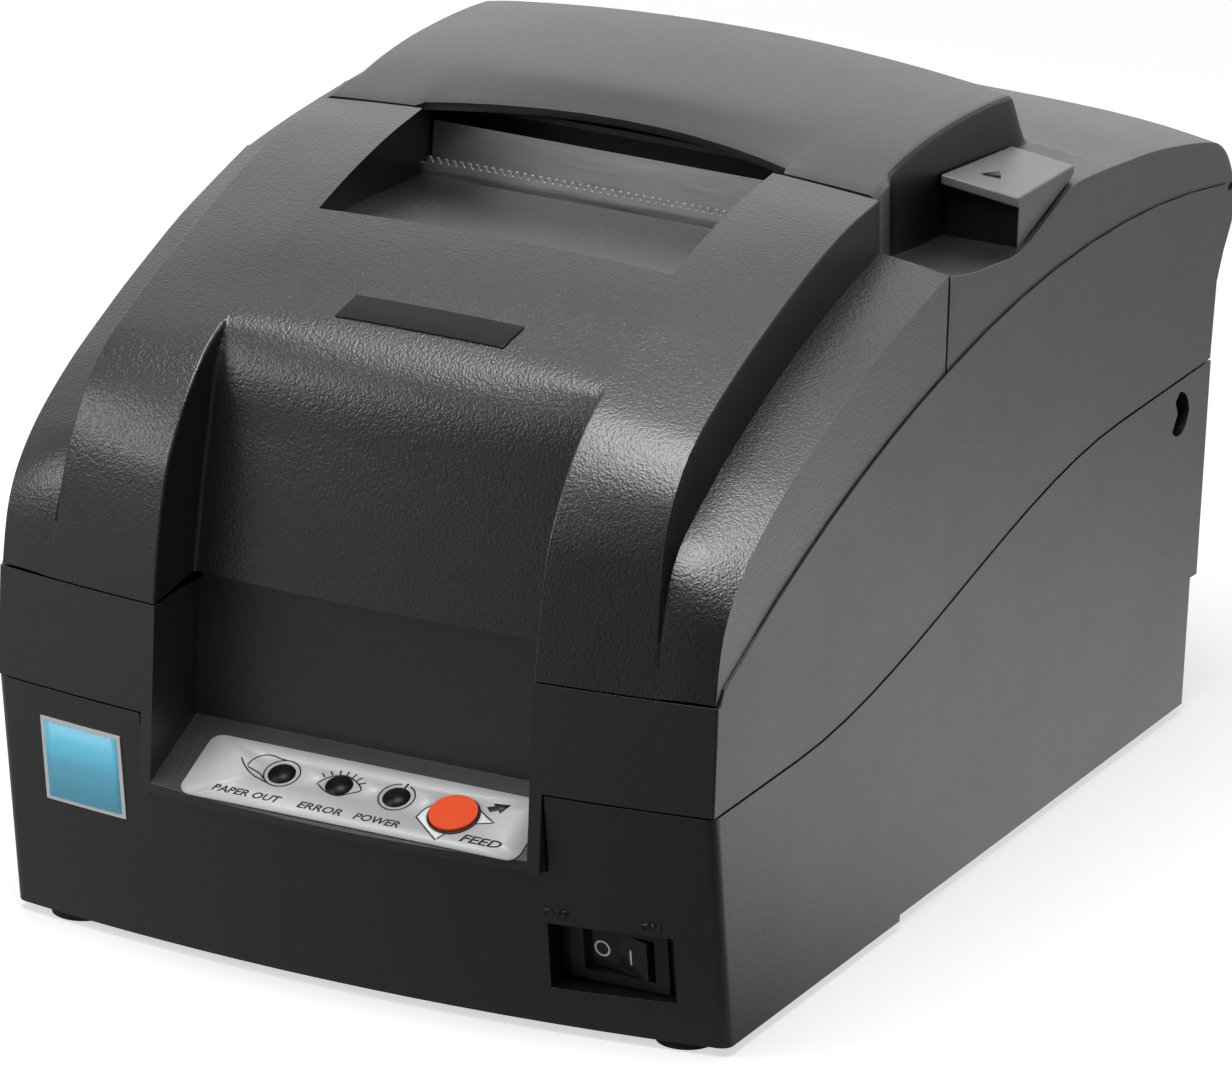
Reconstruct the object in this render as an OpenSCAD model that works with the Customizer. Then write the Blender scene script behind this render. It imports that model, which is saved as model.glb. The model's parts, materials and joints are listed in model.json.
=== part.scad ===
// Desktop impact receipt printer: black case in four shells, roll well, print mechanism and electronics.
// X runs from the left side to the right, the front faces -Y, and Z is up from the tabletop.

/* [Case] */
// Width over the lower case
body_w = 160; // [150:1:190]
// Depth from the middle of the front to the rear bulge
body_d = 257; // [250:1:300]
// Height of the parting line between lower and middle case at the front
front_line_z = 54; // [50:1:60]
// Height of the parting line between middle case and front cover at the front
cover_line_z = 77.5; // [74:0.5:84]
// Height of the front cover's raised panel where it meets the paper cover
joint_z = 150; // [146:0.5:156]
// Thickness of the shells
wall = 2.5; // [1.8:0.1:3.5]
// How far the front bulges past its corners
front_bow = 7.4; // [4:0.1:10]
// Seam between two shells
seam = 0.4; // [0.2:0.1:0.8]
// Thickness of the rubber feet
foot_h = 2; // [1:0.5:5]

/* [Controls] */
// Width of the control panel recess
panel_w = 84; // [78:1:90]
// Diameter of the feed button
button_d = 10; // [8:0.5:12]
// Travel of the feed button
button_travel = 0.8; // [0.5:0.1:1.5]
// Width of the power switch rocker
rocker_w = 15; // [12:0.5:18]
// Height of the power switch rocker
rocker_h = 9; // [8:0.5:11]

/* [Paper] */
// Width of the paper roll
paper_w = 76; // [70:1:80]
// Largest diameter of the paper roll
roll_d = 83; // [60:1:84]
// Width of the paper window in the front cover
window_w = 79; // [72:1:86]

/* [Mechanism] */
// Distance between the frame's side plates
frame_w = 100; // [94:1:108]
// Diameter of the feed roller's rubber
roller_d = 14; // [10:0.5:16]
// Diameter of the feed roller's shaft
roller_shaft_d = 6; // [4:0.5:8]
// Radial clearance of every running fit
run_clear = 0.05; // [0.02:0.01:0.1]
// Gear module
gear_m = 1; // [0.9:0.05:1.1]
// Half of the carriage's travel
carriage_travel = 30; // [20:1:32]
// Diameter of the carriage shaft
rod_d = 8; // [6:0.5:9]

/* [Hidden] */
$fn = 64;

half_w = body_w / 2;
front_y = -body_d / 2;            // middle of the front face
rear_y = body_d / 2;              // rear bulge
mid_half = half_w - 0.2;          // the shells narrow a little upwards
cover_half = half_w - 0.7;
strip_half = half_w - 16;         // outer edge of the raised top
bow_r = (half_w * half_w + front_bow * front_bow) / (2 * front_bow);
corner_y = front_y + front_bow;   // front corners
case_bottom = foot_h;
front_tuck = 10.5;                // how far the front leans back down to the bottom
tuck_angle = atan(front_tuck / (front_line_z - case_bottom));
rear_wall_y = rear_y - 9.6;       // rear wall at the lower parting line
rear_line_z = front_line_z + 24.5;
rise_from_y = -82;                // where the lower parting line starts and stops climbing
rise_to_y = 72;
joint_y = -17;                    // seam between front cover and paper cover
hump_half = strip_half - 1.8;
hump_rear_y = 53.2;
hump_top = joint_z + 5.4;
hump_crown = 3.2;
hump_r = (hump_half * hump_half + hump_crown * hump_crown) / (2 * hump_crown);
deck_z = joint_z - 12.8;          // outer strips beside the raised top
hinge_y = rear_y - 2.6;           // paper cover's hinge
hinge_z = rear_line_z + 37.9;
knuckle_r = 2.1;
hinge_pin_r = 1.25;

// --- outline helpers: points are [y, z] seen from the right side ---
function circle_centre(a, b, c) =
  let (d = 2 * (a[0] * (b[1] - c[1]) + b[0] * (c[1] - a[1]) + c[0] * (a[1] - b[1])),
       qa = a * a, qb = b * b, qc = c * c)
  [(qa * (b[1] - c[1]) + qb * (c[1] - a[1]) + qc * (a[1] - b[1])) / d,
   (qa * (c[0] - b[0]) + qb * (a[0] - c[0]) + qc * (b[0] - a[0])) / d];
// Arc from a through b to c, as n + 1 points from number first on
function arc3(a, b, c, n = 8, first = 0) =
  let (m = circle_centre(a, b, c), r = norm(a - m),
       t0 = atan2(a[1] - m[1], a[0] - m[0]), t1 = atan2(c[1] - m[1], c[0] - m[0]),
       turn = (b[0] - a[0]) * (c[1] - a[1]) - (b[1] - a[1]) * (c[0] - a[0]),
       sweep = turn > 0 ? (t1 > t0 ? t1 - t0 : t1 - t0 + 360) : (t1 < t0 ? t1 - t0 : t1 - t0 - 360))
  [for (i = [first:n]) m + r * [cos(t0 + sweep * i / n), sin(t0 + sweep * i / n)]];
function right_of(a, b) = let (u = (b - a) / norm(b - a)) [u[1], -u[0]];
// Open path moved to the right of its travel by d
function inset_path(p, d) = let (last = len(p) - 1) [for (i = [0:last])
  let (m = right_of(p[max(i - 1, 0)], p[max(i, 1)]) + right_of(p[min(i, last - 1)], p[min(i + 1, last)]))
  p[i] + d * 2 / (m * m) * m];
function smooth_step(t) = t <= 0 ? 0 : t >= 1 ? 1 : t * t * (3 - 2 * t);
function lower_line(y) =
  front_line_z + (rear_line_z - front_line_z) * smooth_step((y - rise_from_y) / (rise_to_y - rise_from_y));
// Lower parting line from front to rear, moved up by lift
function lower_line_points(lift = 0) = concat([[front_y - 10, front_line_z + lift]],
  [for (i = [0:14]) let (y = rise_from_y + (rise_to_y - rise_from_y) * i / 14) [y, lower_line(y) + lift]],
  [[rear_y + 10, rear_line_z + lift]]);
// Upper edge of the middle case, which is the lower edge of both covers
function upper_line_points(lift = 0) = [for (p = concat(
  [[front_y - 10, cover_line_z], [corner_y + 1, cover_line_z]],
  arc3([corner_y + 3, cover_line_z + 3.3], [-76.3, cover_line_z + 21.8], [joint_y, cover_line_z + 38.6], 8),
  arc3([joint_y + 2, cover_line_z + 38.9], [62, cover_line_z + 45.7], [hinge_y - 4, hinge_z], 8),
  [[rear_y + 10, hinge_z]])) [p[0], p[1] + lift]];
module slab(points, x0, x1) {
  translate([x0, 0, 0]) rotate([90, 0, 90]) linear_extrude(x1 - x0) polygon(points);
}
module both_sides() {
  children();
  mirror([1, 0, 0]) children();
}
module x_rod(r, x0, x1, y, z) {
  translate([x0, y, z]) rotate([0, 90, 0]) cylinder(r = r, h = x1 - x0);
}
module box_at(x0, x1, y0, y1, z0, z1) {
  translate([x0, y0, z0]) cube([x1 - x0, y1 - y0, z1 - z0]);
}
module z_rod(r, x, y, z0, z1) {
  translate([x, y, z0]) cylinder(r = r, h = z1 - z0);
}
// Everything behind the bowed front, set back by inset
module behind_bow(inset = 0) {
  translate([0, front_y + bow_r, -10]) cylinder(r = bow_r - inset, h = 200, $fn = 256);
}
// The same for the lower case, whose front leans back towards the bottom
module behind_leaning_bow(inset = 0) {
  translate([0, front_y, front_line_z]) rotate([tuck_angle, 0, 0])
    translate([0, bow_r, -120]) cylinder(r = bow_r - inset, h = 200, $fn = 256);
}

// --- lower case ---
board_z = case_bottom + 11;
board_half = 66;
board_front = -66;
board_rear = rear_wall_y - wall - 4;
board_t = 1.6;
board_hole = [board_half - 6, 72];
screw_r = 1.5;
post_r = 3.6;
panel_floor_front = 39;
panel_floor_rear = 48.5;
panel_rear_y = front_y + 23;
panel_drop = panel_floor_front - 1.6;
panel_half = panel_w / 2;
cheek = 2.6;
switch_x = 57;
switch_z = 18;
switch_recess = [26, 15];
switch_depth = 5;
foot_at = [half_w - 12, 105];
foot_r = 6;
well_y = 66;
well_z = roll_d / 2 + 50.5;
inlet_x = -44;
drawer_x = -16;
usb_x = 38;
port_z = board_z + board_t;
case_screw_at = [half_w - 8, 92];
module switch_frame() {
  // places children on the leaning front, with X along it, Z up it and -Y outwards
  translate([switch_x, front_y + front_bow * pow(switch_x / half_w, 2)
      + (front_line_z - switch_z) * tan(tuck_angle), switch_z])
    rotate([tuck_angle, 0, 0]) children();
}
module lower_case() {
  side_relief = concat([[-30, -5], [-29.3, 10]], arc3([-27.3, 14.9], [23.2, 24.7], [62, 32.7], 6),
    [[82, 33.3], [rear_y, 30.5], [rear_y, -5]]);
  color([0.10, 0.10, 0.11]) difference() {
    union() {
      difference() {
        intersection() {
          slab(concat([[front_y - 10, case_bottom], [rear_y + 10, case_bottom]],
            [for (i = [16:-1:0]) lower_line_points()[i]]), -half_w, half_w);
          behind_leaning_bow();
          slab([[front_y - 10, 0], [rear_wall_y - 3.2, 0], [rear_wall_y, rear_line_z],
            [rear_wall_y, 100], [front_y - 10, 100]], -half_w, half_w);
        }
        intersection() {
          slab([[front_y - 10, case_bottom + wall], [rear_wall_y - 3.2 - wall, case_bottom + wall],
            [rear_wall_y - wall, rear_line_z], [rear_wall_y - wall, 100], [front_y - 10, 100]],
            -half_w + wall + 0.8, half_w - wall - 0.8);
          behind_leaning_bow(wall);
        }
      }
      both_sides() for (y = [-board_hole[1], board_hole[1] - 12])
        z_rod(post_r, board_hole[0], y, case_bottom + 1, board_z);
      both_sides() for (s = [-1, 1]) z_rod(post_r + 1, case_screw_at[0] - 4, s * case_screw_at[1],
        case_bottom + 1, lower_line(s * case_screw_at[1]) - 6);
      // recess box behind the power switch
      intersection() {
        switch_frame() box_at(-switch_recess[0] / 2 - 2, switch_recess[0] / 2 + 2, -6, switch_depth + 2,
          -switch_recess[1] / 2 - 2, switch_recess[1] / 2 + 2);
        behind_leaning_bow(wall / 2);
      }
    }
    // shallow side reliefs
    both_sides() slab(side_relief, half_w - 1.4, half_w + 5);
    // cut-out that the control panel drops into
    box_at(-panel_half - cheek - seam, panel_half + cheek + seam, front_y - 5, panel_rear_y + 6,
      panel_drop - seam, 100);
    // power switch recess, and the hole for its housing
    switch_frame() {
      box_at(-switch_recess[0] / 2, switch_recess[0] / 2, -8, switch_depth,
        -switch_recess[1] / 2, switch_recess[1] / 2);
      box_at(-rocker_w / 2 - 2, rocker_w / 2 + 2, 0, switch_depth + 6, -rocker_h / 2 - 1.4, rocker_h / 2 + 1.4);
    }
    // curved slot in the right side
    slab(concat(arc3([100, 68], [103, 66.2], [107, 67.6]), arc3([108.4, 70.4], [107, 74], [103, 76]),
      [[101, 74.4]], [[102.4, 71.4]]), half_w - 8, half_w + 5);
    // openings for the sockets in the rear wall
    box_at(inlet_x - 9, inlet_x + 9, rear_wall_y - 12, rear_y, port_z - 0.5, port_z + 14);
    box_at(drawer_x - 8, drawer_x + 8, rear_wall_y - 12, rear_y, port_z - 0.5, port_z + 14);
    box_at(usb_x - 30, usb_x + 30, rear_wall_y - 12, rear_y, port_z - 4, port_z + 22);
    // screw bores
    both_sides() for (y = [-board_hole[1], board_hole[1] - 12])
      z_rod(screw_r, board_hole[0], y, case_bottom + 3, 60);
    both_sides() for (s = [-1, 1]) z_rod(screw_r + run_clear, case_screw_at[0] - 4, s * case_screw_at[1],
      -1, 90);
    both_sides() for (s = [-1, 1]) z_rod(3.2, case_screw_at[0] - 4, s * case_screw_at[1], -1, case_bottom + 6);
    // seats of the feet
    both_sides() for (s = [-1, 1])
      z_rod(foot_r + 0.1, foot_at[0], s * foot_at[1], case_bottom - 1, case_bottom + 0.6);
  }
}

// --- middle case ---
module mid_case() {
  rear_edge = [[front_y - 10, 0], [rear_wall_y, 0], [rear_wall_y, rear_line_z], [rear_wall_y + 1.5,
    rear_line_z + 17],
    [rear_y - 5.3, rear_line_z + 23], [rear_y - 1.6, rear_line_z + 28.5], [rear_y - 0.3, rear_line_z + 35.5],
    [rear_y - 0.6, 160], [front_y - 10, 160]];
  hollow = [[front_y - 10, 0], [rear_wall_y - wall, 0], [rear_wall_y - wall, rear_line_z],
    [rear_wall_y + 1.5 - wall, rear_line_z + 17], [hinge_y - 4.4, rear_line_z + 26], [hinge_y - 4.4, 160],
    [front_y - 10, 160]];
  color([0.11, 0.11, 0.12]) difference() {
    union() {
      difference() {
        intersection() {
          slab(concat([[front_y - 10, front_line_z + seam]],
            [for (i = [1:16]) lower_line_points(seam)[i]],
            [for (i = [len(upper_line_points()) - 1:-1:0]) upper_line_points()[i]]), -mid_half, mid_half);
          slab(rear_edge, -mid_half, mid_half);
          behind_bow();
        }
        intersection() {
          slab(hollow, -mid_half + wall, mid_half - wall);
          behind_bow(wall);
        }
        box_at(-panel_half, panel_half, front_y - 10, panel_rear_y + 4, 0, 100);
      }
      // control panel tub
      intersection() {
        union() {
          both_sides() box_at(panel_half, panel_half + cheek, front_y - 10, panel_rear_y + 1,
            panel_drop, cover_line_z);
          box_at(-panel_half + 0.4, panel_half - 0.4, panel_rear_y - 1.4, panel_rear_y + 1,
            panel_floor_rear, cover_line_z + 2);
          slab([[front_y - 10, panel_drop], [front_y + 1, panel_drop], [panel_rear_y + 1,
            panel_floor_rear - 2.4],
            [panel_rear_y + 1, cover_line_z], [panel_rear_y - 1.4, cover_line_z],
            [panel_rear_y - 1.4, panel_floor_rear], [front_y, panel_floor_front], [front_y - 10,
              panel_floor_front]],
            -panel_half - 1, panel_half + 1);
        }
        behind_bow();
      }
      // ledges inside the side walls that carry the mechanism and the roll well
      both_sides() box_at(ledge_x, mid_half - 1, -72, rear_wall_y - 20, ledge_z - 3, ledge_z);
      // fixed hinge knuckles
      both_sides() x_rod(knuckle_r, hinge_fixed[0], hinge_fixed[1], hinge_y, hinge_z);
      both_sides() box_at(hinge_fixed[0], hinge_fixed[1], hinge_y - 2, rear_y - 1.2, hinge_z - 12,
        hinge_z - 0.5);
    }
    // groove that the paper cover's rear edge turns in
    x_rod(knuckle_r + seam, -hinge_fixed[0], hinge_fixed[0], hinge_y, hinge_z);
    both_sides() x_rod(knuckle_r + seam, hinge_fixed[1], half_w + 1, hinge_y, hinge_z);
    x_rod(hinge_pin_r + run_clear, -half_w + 5, half_w - 5, hinge_y, hinge_z);
    // bores for the case screws
    both_sides() z_rod(screw_r, case_screw_at[0] - 4, case_screw_at[1], 40, ledge_z - 4);
    // windows of the lamps and the feed button's hole
    panel_frame() {
      for (x = led_x) z_rod(2.9, x, 0, -8, 8);
      z_rod(button_d / 2 + 0.35, button_x, button_v, -8, 8);
    }
  }
}
ledge_z = 86;
ledge_x = half_w - 18;
hinge_fixed = [62, 70];
led_x = [-16.8, -4, 8.8];
button_x = 22.3;
button_v = -1.6;
panel_slope = atan((panel_floor_rear - panel_floor_front) / (panel_rear_y - 1.4 - front_y));
// Places children on the sloping panel floor, with X along it, Y up the slope and Z out of it
module panel_frame() {
  mid_y = (front_y + panel_rear_y - 1.4) / 2;
  translate([0, mid_y, (panel_floor_front + panel_floor_rear) / 2 - 0.6]) rotate([panel_slope, 0,
    0]) children();
}

// --- front cover ---
strip_knee = [corner_y + 13.2, cover_line_z + 27];
panel_knee = [corner_y + 20.5, cover_line_z + 45];
shoulder_knee = [front_y + 10, cover_line_z + 37];
function strip_outline() = concat(
  arc3([corner_y + 1.6, cover_line_z], [corner_y + 4.7, cover_line_z + 17.5], strip_knee, 6),
  arc3(strip_knee, [-70, deck_z - 14.8], [joint_y + 0.6, deck_z], 8, 1));
function panel_outline() = concat(
  arc3([corner_y + 6.5, cover_line_z + 20], [corner_y + 12.9, cover_line_z + 33.8], panel_knee, 5),
  arc3(panel_arc[0], panel_arc[1], panel_arc[2], 8, 1));
function shoulder_outline() = concat(
  arc3([front_y + 2, cover_line_z], [front_y + 4.2, cover_line_z + 22], shoulder_knee, 6),
  arc3(shoulder_knee, [front_y + 18, cover_line_z + 43], [-97, cover_line_z + 50], 5, 1));
scoop_low_y = -111.4;
scoop_high_y = -104.5;
window_front_y = -63.3;
window_front_z = joint_z - 9;
window_floor_rear_z = joint_z - 12.6;
cheek_in = 2.5;
front_tab_x = 60;
module front_cover() {
  foot = [[joint_y, 60], [front_y + 6, 60]];
  inner_foot = [[joint_y + 5, 50], [front_y + 14, 50]];
  color([0.09, 0.09, 0.10]) difference() {
    union() {
      difference() {
        intersection() {
          union() {
            slab(concat(strip_outline(), foot), -cover_half, cover_half);
            slab(concat(panel_outline(), foot), -strip_half, strip_half);
            both_sides() slab(concat(shoulder_outline(), [[-90, 100], [-100, 60], [front_y + 3, 60]]),
              panel_half, strip_half - 1);
          }
          behind_bow();
        }
        intersection() {
          union() {
            slab(concat(inset_path(strip_outline(), wall), inner_foot), -cover_half + wall, cover_half - wall);
            slab(concat(inset_path(panel_outline(), wall), inner_foot), -strip_half + wall, strip_half - wall);
            both_sides() slab(concat(inset_path(shoulder_outline(), wall), [[-90, 100], [-100, 60],
              [front_y + 6, 60]]),
              panel_half + wall, strip_half - 1 - wall);
          }
          behind_bow(wall);
          slab([[front_y, 40], [joint_y + 6, 40], [joint_y + 6, 170], [front_y, 170]], -half_w, half_w);
        }
      }
      // scoop behind the control panel
      slab([[scoop_low_y, cover_line_z + 2.4], [scoop_high_y, cover_line_z + 45], [panel_knee[0] + 1,
        panel_knee[1]],
        [scoop_high_y + wall + 1, cover_line_z + 41], [scoop_low_y + wall, cover_line_z + 2.4]],
        -panel_half - wall, panel_half + wall);
      both_sides() intersection() {
        slab(concat(shoulder_outline(), [[-95, 120], [scoop_low_y + wall, cover_line_z + 3],
          [scoop_low_y + wall, cover_line_z + 0.5]]), panel_half, panel_half + wall);
        behind_bow();
      }
      // paper window's sloping floor and its cheeks
      slab([[window_front_y - 3, window_front_z - 3], [joint_y + 1.6, window_floor_rear_z - 1.6],
        [joint_y + 1.6, window_floor_rear_z], [window_front_y, window_front_z - 0.6]],
        -window_w / 2 - cheek_in, window_w / 2 + cheek_in);
      both_sides() slab([[window_front_y - 2, window_front_z - 3], [joint_y - seam, window_floor_rear_z - 1.6],
        [joint_y - seam, joint_z - 2], [window_front_y - 2, window_front_z - 2]],
        window_w / 2, window_w / 2 + cheek_in);
      // hooks that tip on the middle case's front edge
      both_sides() slab([[front_y + 8.3, cover_line_z + 8], [front_y + 8.3, cover_line_z - 8],
        [front_y + 10.3, cover_line_z - 8], [front_y + 10.3, cover_line_z + 8]], front_tab_x - 6,
          front_tab_x + 6);
      both_sides() box_at(front_tab_x - 6, front_tab_x + 6, front_y + 3.4, front_y + 9, cover_line_z + 4,
        cover_line_z + 6);
    }
    // scooped front between the shoulders
    slab([[front_y - 10, 60], [scoop_low_y, 60], [scoop_low_y, cover_line_z + 3],
      [scoop_high_y, cover_line_z + 45], [-97, cover_line_z + 51], [front_y - 10, cover_line_z + 58]],
      -panel_half, panel_half);
    // lower edge along the middle case
    slab(concat([[front_y - 10, 40]], [for (p = upper_line_points(seam)) p], [[rear_y, 40]]),
      front_tab_x + 6, half_w);
    mirror([1, 0, 0])
      slab(concat([[front_y - 10, 40]], [for (p = upper_line_points(seam)) p], [[rear_y, 40]]),
        front_tab_x + 6, half_w);
    both_sides() box_at(panel_half - 1, front_tab_x + 7, front_y - 5, front_y + 8.2, 0, cover_line_z + seam);
    both_sides() box_at(panel_half - 1, front_tab_x - 6, front_y - 5, 0, 0, cover_line_z + seam);
    both_sides() box_at(front_tab_x + 6, half_w, front_y - 5, front_y + 14, 0, cover_line_z + seam);
    both_sides() box_at(front_tab_x - 6, half_w, front_y + 10.4, 0, 0, cover_line_z + 2.2);
    box_at(-panel_half, panel_half, front_y - 5, 0, 0, cover_line_z + 2.4);
    // paper window
    slab([[window_front_y, window_front_z - 0.6], [joint_y + 2, window_floor_rear_z],
      [joint_y + 2, 170], [window_front_y, 170]], -window_w / 2, window_w / 2);
    // seam to the paper cover
    box_at(-half_w, half_w, joint_y - seam / 2, 60, 0, 200);
    // finger notches in the lower edge
    both_sides() slab([[-43, 100], [-42.6, 112], [-26, 119], [-27, 110]], half_w - 6, half_w + 1);
  }
}

// --- paper cover ---
window_arc = [5.8, 8.2];          // how far the lip is set back at the middle, and its sweep
lever_x = [hump_half + 0.5, half_w - 1.2];
lever_front_y = 18.4;
lever_rear_y = 46;
lever_top_z = joint_z - 6;
lever_foot_z = joint_z - 18.3;
lever_gap = 0.7;                  // behind the lever, for its rear corner to turn in
lever_pivot = [lever_rear_y - 1.8, lever_top_z - 1.8];
lever_boss_r = 1.8;
lever_pin_r = 0.8;
recess_floor = [[joint_y - 1, deck_z - 0.4], [-5, deck_z - 3.3], [lever_front_y, deck_z - 5.5]];
deck_bend = [48, deck_z + 0.9];
deck_end = [115, deck_z - 8.9];
function deck_outline() = concat(
  arc3([joint_y, deck_z], [16, deck_z + 1.4], deck_bend, 5),
  arc3(deck_bend, [80, deck_z - 1.6], deck_end, 6, 1),
  arc3(deck_end, [123.2, deck_z - 14.2], [rear_y - 1.2, hinge_z + 0.4], 5, 1));
function hump_outline() = concat(
  arc3([joint_y, joint_z + 1.2], [18, hump_top], [hump_rear_y, hump_top - 1.6], 8),
  [[hump_rear_y + 8, deck_z + 1]]);
cover_bushes = [frame_w / 2 - 3.5, frame_w / 2 - 2];
// Everything below the paper cover's lower edge
module paper_cover_edge() {
  slab(concat([[joint_y - 5, 60]], [for (p = upper_line_points(seam)) if (p[0] > joint_y - 3) p],
    [[rear_y + 10, 60]]), -half_w, half_w);
}
module paper_cover() {
  color([0.12, 0.12, 0.13]) difference() {
    union() {
      difference() {
        union() {
          slab(concat(deck_outline(), [[rear_y - 1.2, 100], [joint_y, 100]]), -cover_half, cover_half);
          intersection() {
            slab(concat(hump_outline(), [[joint_y, 120]]), -hump_half, hump_half);
            translate([0, 0, hump_top - hump_r]) rotate([-90, 0, 0])
              translate([0, 0, -60]) cylinder(r = hump_r, h = 200, $fn = 256);
          }
        }
        slab(concat([for (p = inset_path(deck_outline(), wall)) [min(p[0], hinge_y - 4.8), p[1]]],
          [[hinge_y - 4.8, 90], [joint_y + wall, 90]]), -cover_half + wall, cover_half - wall);
        slab([for (p = concat(inset_path(hump_outline(), wall + 0.6), [[joint_y + wall, 120]])) [max(p[0],
          joint_y + wall), p[1]]],
          -hump_half + wall, hump_half - wall);
        paper_cover_edge();
      }
      // walls of the lever's recess and pocket
      intersection() {
        slab(concat([[joint_y, 116], [lever_rear_y + 4, 116], [lever_rear_y + 4, deck_z + 3], [joint_y,
          deck_z + 3]]),
          strip_half - 2.2, cover_half);
        slab(concat(deck_outline(), [[rear_y - 1.2, 100], [joint_y, 100]]), -cover_half, cover_half);
        slab([[joint_y, recess_floor[0][1] - 2], recess_floor[1] - [0, 2.2], recess_floor[2] - [0, 2.4],
          [lever_rear_y + 3, lever_top_z - 8.5], [lever_rear_y + 3, 160], [joint_y, 160]], 0, half_w);
      }
      // inner boss of the lever's pin
      x_rod(lever_boss_r + 1, hump_half - 3, hump_half, lever_pivot[0], lever_pivot[1]);
      // rear bead that turns in the middle case's groove
      x_rod(knuckle_r, -cover_half, cover_half, hinge_y, hinge_z);
    }
    // gaps for the fixed knuckles, and the pin's bore
    both_sides() x_rod(knuckle_r + seam, hinge_fixed[0] - 0.3, hinge_fixed[1] + 0.3, hinge_y, hinge_z);
    both_sides() box_at(hinge_fixed[0] - 0.3, hinge_fixed[1] + 0.3, hinge_y - 2.6, rear_y + 1, hinge_z - 5,
      hinge_z + 0.8);
    x_rod(hinge_pin_r + run_clear, -half_w + 5, half_w - 5, hinge_y, hinge_z);
    // arched lip above the tear plate
    translate([0, joint_y, 0]) intersection() {
      box_at(-window_w / 2 - 1, window_w / 2 + 1, -5, 12, 100, 200);
      translate([0, -arch_r + window_arc[0] + window_arc[1] - 2.8, 100]) cylinder(r = arch_r, h = 100,
        $fn = 256);
    }
    box_at(-window_w / 2 - 1, window_w / 2 + 1, joint_y - 5, joint_y + 11.2, 100, joint_z - 2);
    box_at(-side_x - 1, side_x + 1, joint_y - 5, joint_y + 5, 100, window_floor_rear_z + 3);
    // finger recess in front of the lever, and the lever's own pocket
    slab(concat(recess_floor, [[lever_front_y, 170], [joint_y - 1, 170]]), hump_half, half_w);
    slab([[lever_front_y - 0.5, lever_foot_z - seam], [lever_front_y + 0.6, lever_foot_z - seam],
      [lever_rear_y + lever_gap, lever_top_z - 1.9], [lever_rear_y + lever_gap, 170], [lever_front_y - 0.5,
        170]],
      hump_half, half_w);
    x_rod(lever_boss_r + seam, hump_half, half_w, lever_pivot[0], lever_pivot[1]);
    x_rod(lever_pin_r + run_clear, 55, lever_x[1] - 3, lever_pivot[0], lever_pivot[1]);
  }
}
arch_r = (pow(window_w / 2 + 1, 2) + pow(window_arc[1], 2)) / (2 * window_arc[1]);

// --- paper cover's hinge, lever and latch ---
module cover_hinge_pin() {
  color([0.7, 0.7, 0.72]) x_rod(hinge_pin_r, -half_w + 6, half_w - 6, hinge_y, hinge_z);
}
module cover_lever() {
  color([0.14, 0.14, 0.15]) difference() {
    union() {
      slab([[lever_front_y + 1.2, lever_foot_z], [lever_rear_y - 0.4, lever_top_z - 1.6],
        [lever_rear_y, lever_top_z - 1.2], [lever_rear_y, lever_top_z - 0.4], [lever_rear_y - 0.4, lever_top_z],
        [lever_front_y, lever_top_z + 0.4],
        [lever_front_y, lever_top_z - 1.2], [lever_front_y + 1.2, lever_top_z - 1.4]], lever_x[0], lever_x[1]);
      x_rod(lever_boss_r, lever_x[0], lever_x[1], lever_pivot[0], lever_pivot[1]);
    }
    // hollow behind the finger face
    slab([[lever_front_y + 3, lever_foot_z + 3.4], [lever_rear_y - 7, lever_top_z - 5],
      [lever_rear_y - 7, lever_top_z - 3], [lever_front_y + 3, lever_top_z - 3]], lever_x[0] - 1,
        lever_x[1] - 2);
    x_rod(lever_pin_r + run_clear, lever_x[0] - 1, lever_x[1] - 3, lever_pivot[0], lever_pivot[1]);
  }
}
module lever_pin() {
  color([0.75, 0.75, 0.77]) {
    x_rod(lever_pin_r, spring_x - 0.6, lever_x[1] - 3.2, lever_pivot[0], lever_pivot[1]);
    x_rod(2, spring_x - 1.2, spring_x - 0.4, lever_pivot[0], lever_pivot[1]);
  }
}
spring_x = hump_half - 6.8;
spring_wire = 0.35;
spring_turns = 4;
// Coil of round wire round the lever's pin, drawn as one swept tube
module lever_spring() {
  steps = 16;
  rings = spring_turns * steps;
  sides = 6;
  coil_r = lever_pin_r + run_clear + spring_wire + 0.15;
  pitch = 2 * spring_wire + 0.08;
  points = [for (i = [0:rings]) for (j = [0:sides - 1])
    let (t = i * 360 / steps, a = j * 360 / sides, r = coil_r + spring_wire * cos(a))
    [spring_x + 0.1 + pitch * i / steps + spring_wire * sin(a), lever_pivot[0] + r * cos(t),
      lever_pivot[1] + r * sin(t)]];
  faces = concat([[for (j = [0:sides - 1]) j]], [[for (j = [sides - 1:-1:0]) rings * sides + j]],
    [for (i = [0:rings - 1]) for (j = [0:sides - 1])
      let (a = i * sides + j, b = i * sides + (j + 1) % sides) [a, a + sides, b + sides, b]]);
  color([0.7, 0.7, 0.7]) polyhedron(points, faces);
}
latch_x = 56;
latch_at = [30, 118];
latch_r = 1.8;
module latch_hooks() {
  color([0.35, 0.35, 0.37]) {
    x_rod(latch_r, -latch_x - 2, latch_x + 2, latch_at[0], latch_at[1]);
    both_sides() slab([for (q = [[-2, 3], [2.5, 3], [2, -18], [-3, -22], [-7, -21], [-1.5, -17]]) latch_at + q],
      latch_x - 2, latch_x);
  }
}

// --- trim and controls ---
plate_y = -90.6;
plate_size = [38, 7.6, 0.8];
panel_arc = [panel_knee, [-62.3, joint_z - 9.1], [joint_y + 0.2, joint_z]];
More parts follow.
